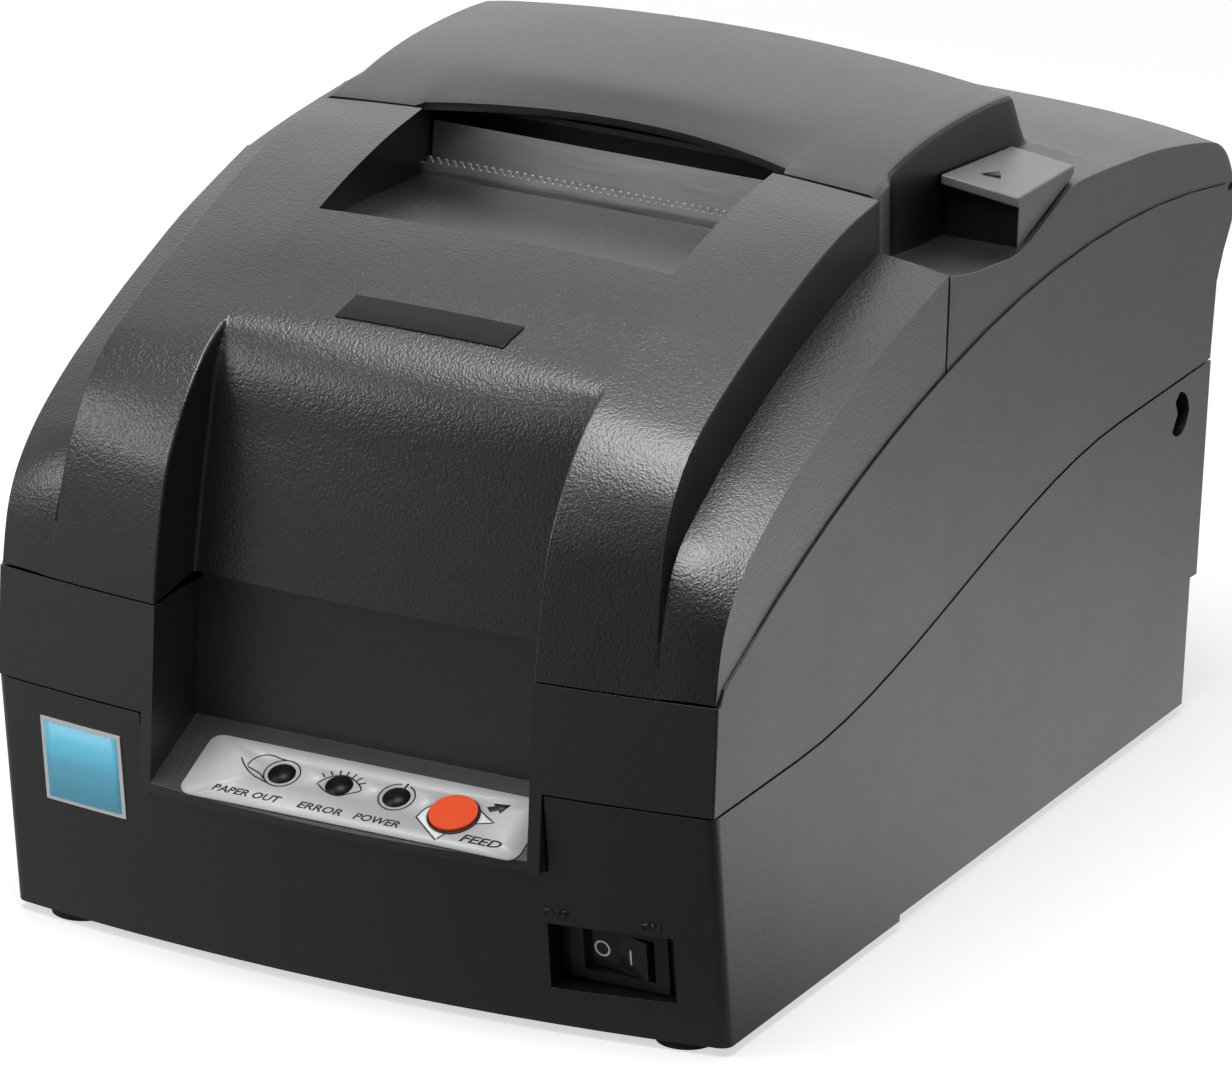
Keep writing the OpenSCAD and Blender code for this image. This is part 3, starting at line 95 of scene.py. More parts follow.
class Graph:
    """Adds nodes to a tree and links them in short lines."""

    def __init__(self, tree):
        self.tree = tree

    def add(self, kind, **settings):
        node = self.tree.nodes.new(kind)
        for key, value in settings.items():
            setattr(node, key, value)
        return node

    def join(self, source, target):
        self.tree.links.new(source, target)

    def math(self, operation, a, b):
        """The result of a sum on two values, each a number or another node's output."""
        node = self.add("ShaderNodeMath", operation=operation)
        for socket, value in zip(node.inputs, (a, b)):
            if isinstance(value, (int, float)):
                socket.default_value = value
            else:
                self.join(value, socket)
        return node.outputs[0]

    def noise(self, vector, scale, detail=2.0, roughness=0.5):
        node = self.add("ShaderNodeTexNoise")
        node.inputs["Detail"].default_value = detail
        node.inputs["Roughness"].default_value = roughness
        if isinstance(scale, (int, float)):
            node.inputs["Scale"].default_value = scale
        else:
            self.join(scale, node.inputs["Scale"])
        self.join(vector, node.inputs["Vector"])
        return node.outputs["Fac"]

    def bump(self, height, strength, distance):
        node = self.add("ShaderNodeBump")
        node.inputs["Distance"].default_value = distance
        self.join(strength, node.inputs["Strength"])
        self.join(height, node.inputs["Height"])
        return node.outputs["Normal"]


def make_grain_group():
    """Etched mould texture: small irregular pits, with wide faint changes in gloss."""
    group = new_finish("mould_grain", {"Cells per metre": 1500.0, "Depth": 0.5, "Gloss": 0.4})
    g = Graph(group)
    inside = g.add("NodeGroupInput")
    out = g.add("NodeGroupOutput")
    place = g.add("ShaderNodeTexCoord").outputs["Object"]
    pits = g.add("ShaderNodeTexVoronoi", feature="SMOOTH_F1")
    pits.inputs["Smoothness"].default_value = 0.6
    g.join(place, pits.inputs["Vector"])
    g.join(inside.outputs["Cells per metre"], pits.inputs["Scale"])
    ripple = g.noise(place, g.math("MULTIPLY", inside.outputs["Cells per metre"], 0.55), 3.0, 0.6)
    height = g.math("ADD", g.math("MULTIPLY", pits.outputs["Distance"], 0.6), g.math("MULTIPLY", ripple, 1.2))
    g.join(g.bump(height, inside.outputs["Depth"], 0.0001), out.inputs["Normal"])
    wide = g.noise(place, 35.0, 3.0, 0.6)
    spread = g.math("MULTIPLY", g.math("SUBTRACT", wide, 0.5), 0.10)
    fine = g.math("MULTIPLY", g.math("SUBTRACT", ripple, 0.5), 0.10)
    g.join(g.math("ADD", g.math("ADD", inside.outputs["Gloss"], spread), fine), out.inputs["Roughness"])
    g.join(g.math("ADD", 0.9, g.math("MULTIPLY", g.math("ADD", wide, ripple), 0.1)), out.inputs["Tone"])
    return group


def make_brushed_group():
    """Fine lines along one direction, for rolled and ground metal."""
    group = new_finish("brushed_lines", {"Gloss": 0.3, "Depth": 0.15})
    g = Graph(group)
    inside = g.add("NodeGroupInput")
    out = g.add("NodeGroupOutput")
    stretch = g.add("ShaderNodeMapping")
    stretch.inputs["Scale"].default_value = (0.03, 1.0, 1.0)
    g.join(g.add("ShaderNodeTexCoord").outputs["Object"], stretch.inputs["Vector"])
    lines = g.noise(stretch.outputs["Vector"], 2500.0, 3.0, 0.6)
    g.join(g.bump(lines, inside.outputs["Depth"], 0.00003), out.inputs["Normal"])
    spread = g.math("MULTIPLY", g.math("SUBTRACT", lines, 0.5), 0.25)
    g.join(g.math("ADD", inside.outputs["Gloss"], spread), out.inputs["Roughness"])
    g.join(g.math("ADD", 0.85, g.math("MULTIPLY", lines, 0.3)), out.inputs["Tone"])
    return group


GRAIN = make_grain_group()
BRUSHED = make_brushed_group()


def finish_material(name, group, values, colour, **sockets):
    """One Principled surface whose colour, gloss and normal come through a finish group."""
    material = bpy.data.materials.new(name)
    material.use_nodes = True
    g = Graph(material.node_tree)
    shader = g.tree.nodes["Principled BSDF"]
    texture = g.add("ShaderNodeGroup", node_tree=group)
    for label, value in values.items():
        texture.inputs[label].default_value = value
    tint = g.add("ShaderNodeMix", data_type="RGBA", blend_type="MULTIPLY")
    tint.inputs["Factor"].default_value = 1.0
    tint.inputs["A"].default_value = (*colour, 1)
    g.join(texture.outputs["Tone"], tint.inputs["B"])
    g.join(tint.outputs["Result"], shader.inputs["Base Color"])
    g.join(texture.outputs["Roughness"], shader.inputs["Roughness"])
    g.join(texture.outputs["Normal"], shader.inputs["Normal"])
    for label, value in sockets.items():
        shader.inputs[label.replace("_", " ")].default_value = value
    material.diffuse_color = (*colour, 1)
    return material


def plastic(name, colour, gloss, cells, depth, shine=0.5):
    """A surface with the mould's grain, which a low depth makes almost plain."""
    values = {"Cells per metre": cells, "Depth": depth, "Gloss": gloss}
    return finish_material(name, GRAIN, values, colour, Specular_IOR_Level=shine)


def metal(name, colour, gloss, depth=0.15):
    """A surface with brushed lines."""
    return finish_material(name, BRUSHED, {"Gloss": gloss, "Depth": depth}, colour, Metallic=1.0)


COVER = plastic("charcoal_grain", (0.009, 0.009, 0.0095), 0.32, 2100.0, 0.9, 1.0)
CASE = plastic("charcoal_fine", (0.010, 0.010, 0.0105), 0.42, 2200.0, 0.5, 1.0)
# darker, less glossy copy of the charcoal plastic for the step, window and hump walls: painted shade
PAINTED_SHADE_WALL = plastic("charcoal_painted_shade", (0.007, 0.007, 0.0075), 0.36, 2200.0, 0.2, 0.22)
LEVER = plastic("lever_grey", (0.16, 0.16, 0.163), 0.45, 2200.0, 0.3, 0.6)
GLOSS_BLACK = plastic("gloss_black", (0.010, 0.010, 0.010), 0.16, 400.0, 0.03)
SATIN_BLACK = plastic("satin_black", (0.014, 0.014, 0.014), 0.42, 2500.0, 0.15)
STICKER = plastic("sticker_blue", (0.16, 0.62, 0.86), 0.30, 900.0, 0.05)
WHITE_PRINT = plastic("white_print", (0.72, 0.73, 0.74), 0.45, 2500.0, 0.05)
INK = plastic("black_ink", (0.008, 0.008, 0.008), 0.5, 2500.0, 0.05)
# near-black copy of the plastic for the switch recess and the lever's front face: painted shade
PAINTED_SHADE = plastic("painted_recess_shade", (0.004, 0.004, 0.004), 0.55, 2200.0, 0.2, 0.3)
LABEL = plastic("label_grey", (0.50, 0.51, 0.525), 0.38, 3000.0, 0.06)
LAMP = plastic("dark_lamp", (0.005, 0.005, 0.005), 0.45, 900.0, 0.03, 0.3)
BUTTON = plastic("orange_button", (0.72, 0.065, 0.006), 0.34, 2500.0, 0.08)
BOARD = plastic("board_lacquer", (0.02, 0.16, 0.07), 0.30, 700.0, 0.10)
NYLON = plastic("white_nylon", (0.74, 0.74, 0.70), 0.42, 1200.0, 0.10)
RUBBER = plastic("black_rubber", (0.018, 0.018, 0.018), 0.72, 2600.0, 0.35)
CABLE = plastic("flat_cable", (0.70, 0.70, 0.66), 0.40, 900.0, 0.08)
RIBBON = plastic("inked_cloth", (0.05, 0.012, 0.06), 0.80, 4000.0, 0.6)
KNOB = plastic("blue_knob", (0.05, 0.20, 0.55), 0.38, 1800.0, 0.12)
STEEL = metal("ground_steel", (0.80, 0.81, 0.82), 0.42, 0.05)
ZINC = metal("zinc_sheet", (0.50, 0.51, 0.53), 0.38, 0.25)
MOTOR = metal("motor_can", (0.36, 0.37, 0.39), 0.42, 0.3)
BRASS = metal("turned_brass", (0.70, 0.50, 0.22), 0.28)
HEAD = metal("dark_anodised", (0.10, 0.10, 0.11), 0.45, 0.3)

FINISHES = {
    "case_plastic": CASE, "gloss_black": GLOSS_BLACK, "black_plastic": SATIN_BLACK,
    "sticker_blue": STICKER, "label_grey": LABEL, "lamp_dark": LAMP, "board_green": BOARD,
    "button_orange": BUTTON, "steel": STEEL, "zinc_sheet": ZINC, "motor_metal": MOTOR,
    "white_nylon": NYLON, "brass": BRASS, "roller_rubber": RUBBER, "head_metal": HEAD,
    "flat_cable": CABLE, "ribbon_cloth": RIBBON, "knob_blue": KNOB,
}


def paint(node, material):
    """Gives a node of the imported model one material; its faces' own choices are lost."""
    node.data.materials.clear()
    node.data.materials.append(material)


def paint_nodes():
    """Paints each node by the material slot that the record gives it."""
    for row in frame["record"]["subparts"]:
        paint(nodes[row["node"]], FINISHES[row["material_slot"]])


paint_nodes()


# ---------------------------------------------------------------- tools for shells
def piece_from(bm, name, body, slot, *materials):
    """Makes the bmesh one object that rides on a body."""
    mesh = bpy.data.meshes.new(name)
    bm.to_mesh(mesh)
    bm.free()
    piece = bpy.data.objects.new(name, mesh)
    scene.collection.objects.link(piece)
    for material in materials:
        mesh.materials.append(material)
    mesh.shade_smooth()
    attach(piece, body)
    return piece


def round_edges(piece, width, flats=True):
    """Small rounds on every edge sharper than 35 degrees, with the flats kept flat if asked."""
    rounds = piece.modifiers.new("rounds", "BEVEL")
    rounds.width = width * MM
    rounds.segments = 3
    rounds.limit_method = "ANGLE"
    rounds.angle_limit = radians(35)
    rounds.miter_outer = "MITER_ARC"
    if flats:
        weighted = piece.modifiers.new("flats", "WEIGHTED_NORMAL")
        weighted.weight = 100
        weighted.keep_sharp = True


def give_wall(piece, thickness):
    """Turns a sheet into a wall that grows inward."""
    wall = piece.modifiers.new("wall", "SOLIDIFY")
    wall.thickness = thickness * MM
    wall.offset = -1
    wall.use_even_offset = True


def through(points, steps):
    """A smooth run of points through the given ones, with so many steps in each gap."""
    row = [Vector(p) for p in points]
    row = [row[0] * 2 - row[1]] + row + [row[-1] * 2 - row[-2]]
    out = []
    for a, b, c, d in zip(row, row[1:], row[2:], row[3:]):
        for i in range(steps):
            t = i / steps
            out.append(0.5 * (2 * b + (c - a) * t + (2 * a - 5 * b + 4 * c - d) * t * t
                              + (3 * b - a - 3 * c + d) * t ** 3))
    out.append(row[-2])
    return out


def height_on(path, y):
    """The height of a run of (y, z) points at y."""
    for p, q in zip(path, path[1:]):
        if p[0] <= y <= q[0]:
            return p[1] + (q[1] - p[1]) * (y - p[0]) / max(q[0] - p[0], 1e-9)
    return path[-1][1]


def face_up(bm):
    """Makes all faces of a sheet look the same way, upward on the whole."""
    bmesh.ops.recalc_face_normals(bm, faces=bm.faces)
    if sum(f.normal.z for f in bm.faces) < 0:
        bmesh.ops.reverse_faces(bm, faces=bm.faces)


def skin(columns):
    """A grid laid over columns of points in millimetres, and its vertices by column and row."""
    wide, tall = len(columns), len(columns[0])
    bm = bmesh.new()
    made = bmesh.ops.create_grid(bm, x_segments=wide - 1, y_segments=tall - 1, size=0.5)["verts"]
    table = [[made[r * wide + c] for r in range(tall)] for c in range(wide)]
    for column, verts in zip(columns, table):
        for point, vert in zip(column, verts):
            vert.co = Vector(point) * MM
    return bm, table


def chain(verts):
    """The edges that join a run of vertices."""
    found = []
    for a, b in zip(verts, verts[1:]):
        if a.is_valid and b.is_valid:
            found += [e for e in a.link_edges if e.other_vert(a) == b]
    return found


def bevel(bm, edges, width, segments):
    """A round of so many segments on some edges of a mesh."""
    bmesh.ops.bevel(bm, geom=edges, offset=width * MM, offset_type="OFFSET", segments=segments,
                    profile=0.5, affect="EDGES", clamp_overlap=True, material=-1)


def blend(first, last, share):
    """The numbers that lie a share of the way from one row to another."""
    return [a + (b - a) * share for a, b in zip(first, last)]


def blend_columns(first, last, share):
    """The column of points that lies a share of the way from one column to another."""
    return [tuple(blend(p, q, share)) for p, q in zip(first, last)]


def bar(bm, outline, x0, x1):
    """A prism of a (y, z) outline from x0 to x1, in millimetres."""
    verts = [bm.verts.new(Vector((x0, y, z)) * MM) for y, z in outline]
    face = bm.faces.new(verts)
    made = bmesh.ops.extrude_face_region(bm, geom=[face], use_keep_orig=True)["geom"]
    moved = [g for g in made if isinstance(g, bmesh.types.BMVert)]
    bmesh.ops.translate(bm, verts=moved, vec=Vector((x1 - x0, 0, 0)) * MM)
    bmesh.ops.recalc_face_normals(bm, faces=bm.faces)


def block(bm, low, high):
    """A box between two opposite corners."""
    bar(bm, [(low[1], low[2]), (high[1], low[2]), (high[1], high[2]), (low[1], high[2])], low[0], high[0])


def rod_x(bm, radius, x0, x1, y, z):
    """A rod along x."""
    turn = Matrix.Translation(Vector(((x0 + x1) / 2, y, z)) * MM) @ Matrix.Rotation(pi / 2, 4, "Y")
    bmesh.ops.create_cone(bm, cap_ends=True, segments=32, radius1=radius * MM,
                          radius2=radius * MM, depth=(x1 - x0) * MM, matrix=turn)


def stroke(bm, place, points, width, low, high, closed=False):
    """A thin raised line through flat points, laid on a surface by a placing function."""
    count = len(points)
    rings = []
    for i, point in enumerate(points):
        before = points[i - 1] if closed or i else points[0]
        after = points[(i + 1) % count] if closed or i < count - 1 else points[-1]
        along = (Vector(after) - Vector(before)).normalized()
        across = Vector((-along.y, along.x)) * width / 2
        one, two = Vector(point) + across, Vector(point) - across
        corners = ((one, low), (one, high), (two, high), (two, low))
        rings.append([bm.verts.new(place(*corner, h) * MM) for corner, h in corners])
    for one, two in zip(rings, rings[1:] + rings[:1]) if closed else zip(rings, rings[1:]):
        for k in range(4):
            bm.faces.new((one[k], one[(k + 1) % 4], two[(k + 1) % 4], two[k]))
    if not closed:
        bm.faces.new(rings[0][::-1])
        bm.faces.new(rings[-1])
    bmesh.ops.recalc_face_normals(bm, faces=bm.faces)


def patch(bm, place, outline, low, high, holes=()):
    """A thin plate of an outline, with holes, laid on a surface by a placing function."""
    edges, flat = [], []
    for rim in (outline, *holes):
        verts = [bm.verts.new((*p, low)) for p in rim]
        edges += [bm.edges.new(pair) for pair in zip(verts, verts[1:] + verts[:1])]
        flat += verts
    filled = bmesh.ops.triangle_fill(bm, edges=edges, use_beauty=True)["geom"]
    faces = [g for g in filled if isinstance(g, bmesh.types.BMFace)]
    made = bmesh.ops.extrude_face_region(bm, geom=faces, use_keep_orig=True)["geom"]
    raised = [g for g in made if isinstance(g, bmesh.types.BMVert)]
    for vert in raised:
        vert.co.z = high
    for vert in flat + raised:
        vert.co = place(*vert.co) * MM
    bmesh.ops.recalc_face_normals(bm, faces=bm.faces)


def word(bm, place, text, left, right, low, high, base, top, shear=0.0):
    """A word that fills a rectangle of a surface, from its base height to its top height."""
    data = bpy.data.curves.new("word", "FONT")
    data.body, data.shear, data.extrude, data.offset, data.resolution_u = text, shear, 0.5, 0.022, 2
    lettering = bpy.data.objects.new("word", data)
    scene.collection.objects.link(lettering)
    bpy.context.view_layer.update()
    mesh = bpy.data.meshes.new_from_object(lettering.evaluated_get(bpy.context.evaluated_depsgraph_get()))
    xs, ys = [v.co.x for v in mesh.vertices], [v.co.y for v in mesh.vertices]
    for vert in mesh.vertices:
        u = left + (vert.co.x - min(xs)) / (max(xs) - min(xs)) * (right - left)
        v = low + (vert.co.y - min(ys)) / (max(ys) - min(ys)) * (high - low)
        vert.co = place(u, v, base if vert.co.z < 0 else top) * MM
    bm.from_mesh(mesh)
    bmesh.ops.remove_doubles(bm, verts=bm.verts, dist=0.002 * MM)
    bmesh.ops.recalc_face_normals(bm, faces=bm.faces)
    bpy.data.objects.remove(lettering)
    bpy.data.meshes.remove(mesh)
    bpy.data.curves.remove(data)


def arc(cx, cy, radius, start=0.0, end=360.0, steps=36):
    """Points round a circle from one angle to another, in degrees."""
    turns = [radians(start + (end - start) * i / steps) for i in range(steps + (end - start < 359.9))]
    return [(cx + radius * cos(a), cy + radius * sin(a)) for a in turns]


# ---------------------------------------------------------------- lower and middle case
CORNER_X, CORNER_Y, CORNER_ROUND = (78.5, 81), -105, 2.2
REAR_WALL_Y = 110


def is_front_corner(edge):
    """Whether an edge is one of the tall sharp ones at the front corners."""
    return (edge.is_manifold
            and all(CORNER_X[0] < abs(v.co.x) / MM < CORNER_X[1] for v in edge.verts)
            and all(v.co.y / MM < CORNER_Y for v in edge.verts)
            and abs(edge.verts[0].co.z - edge.verts[1].co.z) > 5 * MM and edge.calc_face_angle() > 0.6)


def in_switch_recess(c, normal):
    """Whether a face of the lower case, by its centre and normal, lies inside the switch's recess."""
    return 43 < c.x < 71 and 9 < c.z < 27 and -126 < c.y < -105 and normal.y > -0.9


def round_case(node, name, width, in_painted_shade=None):
    """The node's own shape with its edges rounded, and a wider round on the front corners.

    Flat neighbours are joined first, except on the rear wall, whose many openings make bad faces.
    """
    bm = bmesh.new()
    bm.from_mesh(nodes[node].data)
    bmesh.ops.remove_doubles(bm, verts=bm.verts, dist=0.002 * MM)
    ahead = [v for v in bm.verts if v.co.y < REAR_WALL_Y * MM]
    seams = [e for e in bm.edges if all(v.co.y < REAR_WALL_Y * MM for v in e.verts)]
    bmesh.ops.dissolve_limit(bm, angle_limit=radians(0.3), verts=ahead, edges=seams)
    bevel(bm, [e for e in bm.edges if is_front_corner(e)], CORNER_ROUND, 6)
    # faces that the test picks, those inside the switch's recess, take the near-black second material:
    # painted shade
    for face in bm.faces:
        centre = face.calc_center_median() / MM
        face.material_index = int(in_painted_shade is not None and in_painted_shade(centre, face.normal))
    piece = piece_from(bm, name, "base", "case_plastic", CASE, PAINTED_SHADE)
    round_edges(piece, width)
    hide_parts(node)


round_case("lower_case", "lower_shell", 0.45, in_switch_recess)
round_case("mid_case", "middle_shell", 0.35)


# ---------------------------------------------------------------- front cover
COVER_HALF = 79.2       # half the width of both covers
WALL = 2.0              # thickness of both covers
SCOOP_X = 42.0          # where the scoop meets the shoulder beside it
SCOOP_FOOT_X = 41.5     # the foot of that small rise
SHOULDER_X = 66         # the far end of the shoulder
STEPS = 4               # rows between two given points

# (y, z) points of the cover's ruling lines, from the front edge up and back
SCOOP = [(-112.6, 80.3), (-112.0, 85), (-111.2, 91), (-110.2, 98), (-108.9, 105), (-107.6, 111),
         (-106.2, 117), (-104.2, 122.3), (-101.0, 127.0), (-96.0, 131.3), (-88, 135.3), (-76, 140.2),
         (-63.3, 144.3), (-48, 148.2), (-32, 151.1), (-17.4, 152.6)]
SCOOP_SIDE = [(-110.6, 80.3), (-110.0, 85), (-109.2, 91), (-108.2, 98), (-106.9, 105), (-105.6, 111),
              (-104.6, 117), (-103.1, 122.0), (-100.8, 126.4), (-97.5, 130.4), (-88, 134.3),
              (-76, 139.2), (-63.3, 143.2), (-48, 147.1), (-32, 150.0), (-17.4, 151.5)]
SHOULDER = [(-126.5, 77.9), (-126.0, 84.5), (-125.2, 91), (-124.0, 98), (-122.1, 105), (-119.0, 111),
            (-115.0, 117), (-110.2, 122.3), (-104.6, 126.8), (-97.5, 130.4), (-88, 134.3),
            (-76, 139.2), (-63.3, 143.2), (-48, 147.1), (-32, 150.0), (-17.4, 151.5)]
STEP_TOP = [(-123.3, 77.9), (-122.6, 84.5), (-121.7, 91), (-120.6, 98), (-118.9, 105), (-116.5, 110.9),
            (-113.2, 116.3), (-108.9, 120.8), (-104.0, 124.4), (-98.6, 127.2), (-87.5, 132.0),
            (-75.4, 136.4), (-63.3, 140.4), (-48, 144.9), (-32, 148.4), (-17.4, 149.9)]
STEP_FOOT = [(-123.2, 77.9), (-122.4, 84.5), (-121.3, 91), (-119.3, 97.0), (-116.0, 102.4),
             (-111.4, 106.5), (-106.3, 109.2), (-101.5, 111.5), (-96.5, 113.9), (-91.5, 116.2),
             (-82.5, 119.8), (-72.0, 123.8), (-61.5, 127.5), (-47.1, 131.9), (-32, 135.9), (-17.4, 138.9)]
STRIP_EDGE = [(-120.9, 77.9), (-120.3, 83.6), (-119.3, 89), (-117.3, 94), (-114.2, 98.4), (-110.2, 102.4),
              (-105.9, 105.7), (-101.1, 108.7), (-96.0, 111.5), (-90.5, 114.2), (-82.0, 117.7),
              (-71.5, 121.8), (-61.5, 125.3), (-47, 130.0), (-32, 133.6), (-17.4, 136.8)]
# x of the step's top edge at the same rows
STEP_X = [67.0, 66.9, 66.7, 66.4, 66.0, 65.6, 65.3, 65.0, 64.8, 64.5, 64.2, 63.9, 63.7, 63.5, 63.4, 63.3]

ROUNDED = (9, 10, 16, 21)           # the columns at the scoop's foot, shoulder, step and strip edge
WINDOW_COLUMNS, WINDOW_ROW = 8, 12  # the paper window: so many columns, back from this point
WINDOW_Y, WINDOW_Z = -63.3, 140.4   # front of the window's sunk floor
WINDOW_FALL = 0.063                 # slope of that floor


def front_seam(y):
    """The height of the front cover's lower side edge."""
    if y < -118.1:
        return 77.9 + (y + 120.9) * 1.09
    return 80.95 + 0.4426 * (y + 118.1) - 0.001576 * (y + 118.1) * (y + 76.3)


def column_at(x, path):
    """A column of points over a (y, z) path."""
    return [(x, p[0], p[1]) for p in path]


def front_columns():
    """Columns from the middle of the cover out to its right lower edge."""
    scoop, side, shoulder = (through(p, STEPS) for p in (SCOOP, SCOOP_SIDE, SHOULDER))
    top_x = [p[0] for p in through([(x, 0) for x in STEP_X], STEPS)]
    step_top = [(x, p[0], p[1]) for x, p in zip(top_x, through(STEP_TOP, STEPS))]
    foot = [(x + 0.5, p[0], p[1]) for x, p in zip(top_x, through(STEP_FOOT, STEPS))]
    edge = column_at(COVER_HALF, through(STRIP_EDGE, STEPS))
    low = []
    for i, (_, y, z) in enumerate(edge):
        y += min(1.2, 0.2 * i) * (y < -20)
        low.append((COVER_HALF + 0.1 * min(1, i / 4), y, min(front_seam(y), z)))
    columns = []
    for x in (0, 7, 14, 21, 28, 34, 38, 39.5, 40.6, SCOOP_FOOT_X):
        share = (x / SCOOP_FOOT_X) ** 2
        columns.append([(x, *blend(a, b, share)) for a, b in zip(scoop, side)])
    first = column_at(SCOOP_X, shoulder)
    columns.append(first)
    for x in (46, 50, 54, 58, 61.5):
        share = (x - SCOOP_X) / (SHOULDER_X - SCOOP_X)
        bent = (x * x - SCOOP_X ** 2) / (SHOULDER_X ** 2 - SCOOP_X ** 2)
        columns.append([(a[0] + (b[0] - a[0]) * share, *blend(a[1:], b[1:], bent))
                        for a, b in zip(first, step_top)])
    columns.append(step_top)
    columns.append(foot)
    for share in (0.25, 0.5, 0.75):
        belly = 0.5 * (1 - (2 * share - 1) ** 2)
        between = blend_columns(foot, edge, share)
        columns.append([(x, y - belly * 0.5, z + belly * 0.7) for x, y, z in between])
    columns.append(edge)
    for share in (0.33, 0.66):
        columns.append(blend_columns(edge, low, share))
    columns.append(low)
    return columns


def make_front_cover():
    """Half of the cover with its sunk paper window, rounded along its ruling lines and mirrored."""
    bm, table = skin(front_columns())
    scoop_foot, shoulder, step_top, edge = (table[i] for i in ROUNDED)
    sunk_verts = {v for column in table[:WINDOW_COLUMNS] for v in column[WINDOW_ROW * STEPS:]}
    window = [f for f in bm.faces if all(v in sunk_verts for v in f.verts)]
    made = bmesh.ops.extrude_face_region(bm, geom=window)["geom"]
    sunk = [g for g in made if isinstance(g, bmesh.types.BMVert)]
    bmesh.ops.delete(bm, geom=[f for f in window if f.is_valid], context="FACES_ONLY")
    for vert in sunk:
        vert.co.z = (WINDOW_Z - (vert.co.y / MM - WINDOW_Y) * WINDOW_FALL) * MM
    ends = [f for f in bm.faces if all(v.co.y > -17.5 * MM for v in f.verts)
            or all(v.co.x < 0.01 * MM for v in f.verts)]
    bmesh.ops.delete(bm, geom=ends, context="FACES")
    bm.normal_update()
    for face in bm.faces:
        # the walls of the step and of the window take a darker, less glossy copy of the plastic: painted
        # shade
        c = face.calc_center_median() / MM
        step = abs(c.x) > 62 and abs(face.normal.x) > 0.55 and c.x < 69
        well = c.y > -66 and abs(c.x) < 43 and abs(face.normal.x) > 0.7
        face.material_index = int(step or well)
    bevel(bm, chain(edge), 1.25, 5)
    bevel(bm, chain(step_top[STEPS:]), 0.45, 3)
    bevel(bm, chain(shoulder[:9 * STEPS]), 0.6, 4)
    bevel(bm, chain(scoop_foot[:8 * STEPS]), 1.0, 4)
    bmesh.ops.mirror(bm, geom=bm.verts[:] + bm.edges[:] + bm.faces[:], axis="X", merge_dist=0.01 * MM)
    bmesh.ops.remove_doubles(bm, verts=bm.verts, dist=0.01 * MM)
    bmesh.ops.dissolve_degenerate(bm, edges=bm.edges, dist=0.005 * MM)
    face_up(bm)
    cover = piece_from(bm, "front_shell", "front_cover", "case_plastic", COVER, PAINTED_SHADE_WALL)
    give_wall(cover, WALL)
    round_edges(cover, 0.3)
    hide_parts("front_cover")


make_front_cover()


# ---------------------------------------------------------------- paper cover
HUMP_X = 61.8           # top edge of the hump's walls
HUMP_FOOT_X = 62.5      # foot of the hump's walls
HUMP_LEAN = 0.7         # how far the walls lean in between them
SEAM_X = 79.3           # side walls
HUMP_STATIONS = 7       # how many of the stations the hump covers
LIP_END = 5             # y where the stations no longer follow the arched lip
COVER_STEPS = 3         # rows between two stations

# y of the stations, from the paper window to the rear, and heights at them
COVER_Y = [-16.6, -6, 5, 18, 32, 44, 53.2, 60.6, 62.4, 72, 85, 100, 112, 119, 123.4, 126.2, 127.5]
HUMP_MID = [152.8, 154.8, 156.3, 157.2, 157.5, 157.2, 156.6]
HUMP_SIDE = [150.3, 152.2, 153.6, 154.2, 153.9, 153.1, 152.0]
DECK = [137.2, 138.0, 138.4, 138.6, 138.5, 138.3, 138.1, 137.5, 137.3, 136.4, 134.9, 132.0, 129.1, 126.9,
        124.0, 120.2, 117.2]
DECK_EDGE = [136.6, 137.3, 137.8, 138.1, 138.2, 138.2, 138.1, 137.3, 137.1, 135.9, 134.2, 131.3, 128.5,
             126.2, 123.2, 119.6, 117.0]
# heights in the hollow under the lever, beside the hump and at the right edge
RECESS = [136.6, 134.3, 132.9, 131.8, 132.2, 138.0, 138.2]
RECESS_EDGE = [136.4, 134.1, 132.7, 131.6, 135.2, 138.4, 138.1]
# how much higher the deck's middle is than its sides
CROWN = [0, 0, 0, 0, 0, 1.0, 2.4, 3.8, 3.9, 3.8, 3.6, 3.3, 3.0, 2.6, 1.9, 1.0, 0]


def rear_seam(y):
    """The height of the paper cover's lower side edge."""
    return min(116.8 + 0.08831 * (y + 15) - 0.001474 * (y + 15) * (y - 62), 125) - 0.35


def cover_column(x, heights, lip=None):
    """One column of the paper cover: its stations start at the arched lip where there is one."""
    on_hump = heights[HUMP_STATIONS - 1] > 145
    points = []
    for i, (y, z) in enumerate(zip(COVER_Y, heights)):
        if i >= HUMP_STATIONS or not on_hump:
            z += CROWN[i] * (1 - (x / COVER_HALF) ** 4)
        if lip is not None and y < LIP_END:
            y = lip + (y - COVER_Y[0]) / (LIP_END - COVER_Y[0]) * (LIP_END - lip)
        points.append((y, z))
    front, back = points[:HUMP_STATIONS], points[HUMP_STATIONS - 1:]
    if on_hump:
        rear = []
        for a, b in zip(back[:2], back[1:]):
            rear += [tuple(p + (q - p) * i / COVER_STEPS for p, q in zip(a, b)) for i in range(COVER_STEPS)]
        rear += through(back[2:], COVER_STEPS)
    else:
        rear = through(back, COVER_STEPS)
    return column_at(x, through(front, COVER_STEPS)[:-1] + rear)


def hump_heights(x):
    """The heights over the hump at x, and over the deck behind it."""
    return blend(HUMP_MID, HUMP_SIDE, (x / HUMP_X) ** 2) + DECK[HUMP_STATIONS:]


def side_columns(edge, side):
    """The cover's side wall, from its deck edge down to the seam, with rows close to both ends."""
    return [[(side * SEAM_X, y, z + (rear_seam(y) - z) * share) for _, y, z in edge]
            for share in (0.16, 0.5, 0.88, 1.0)]


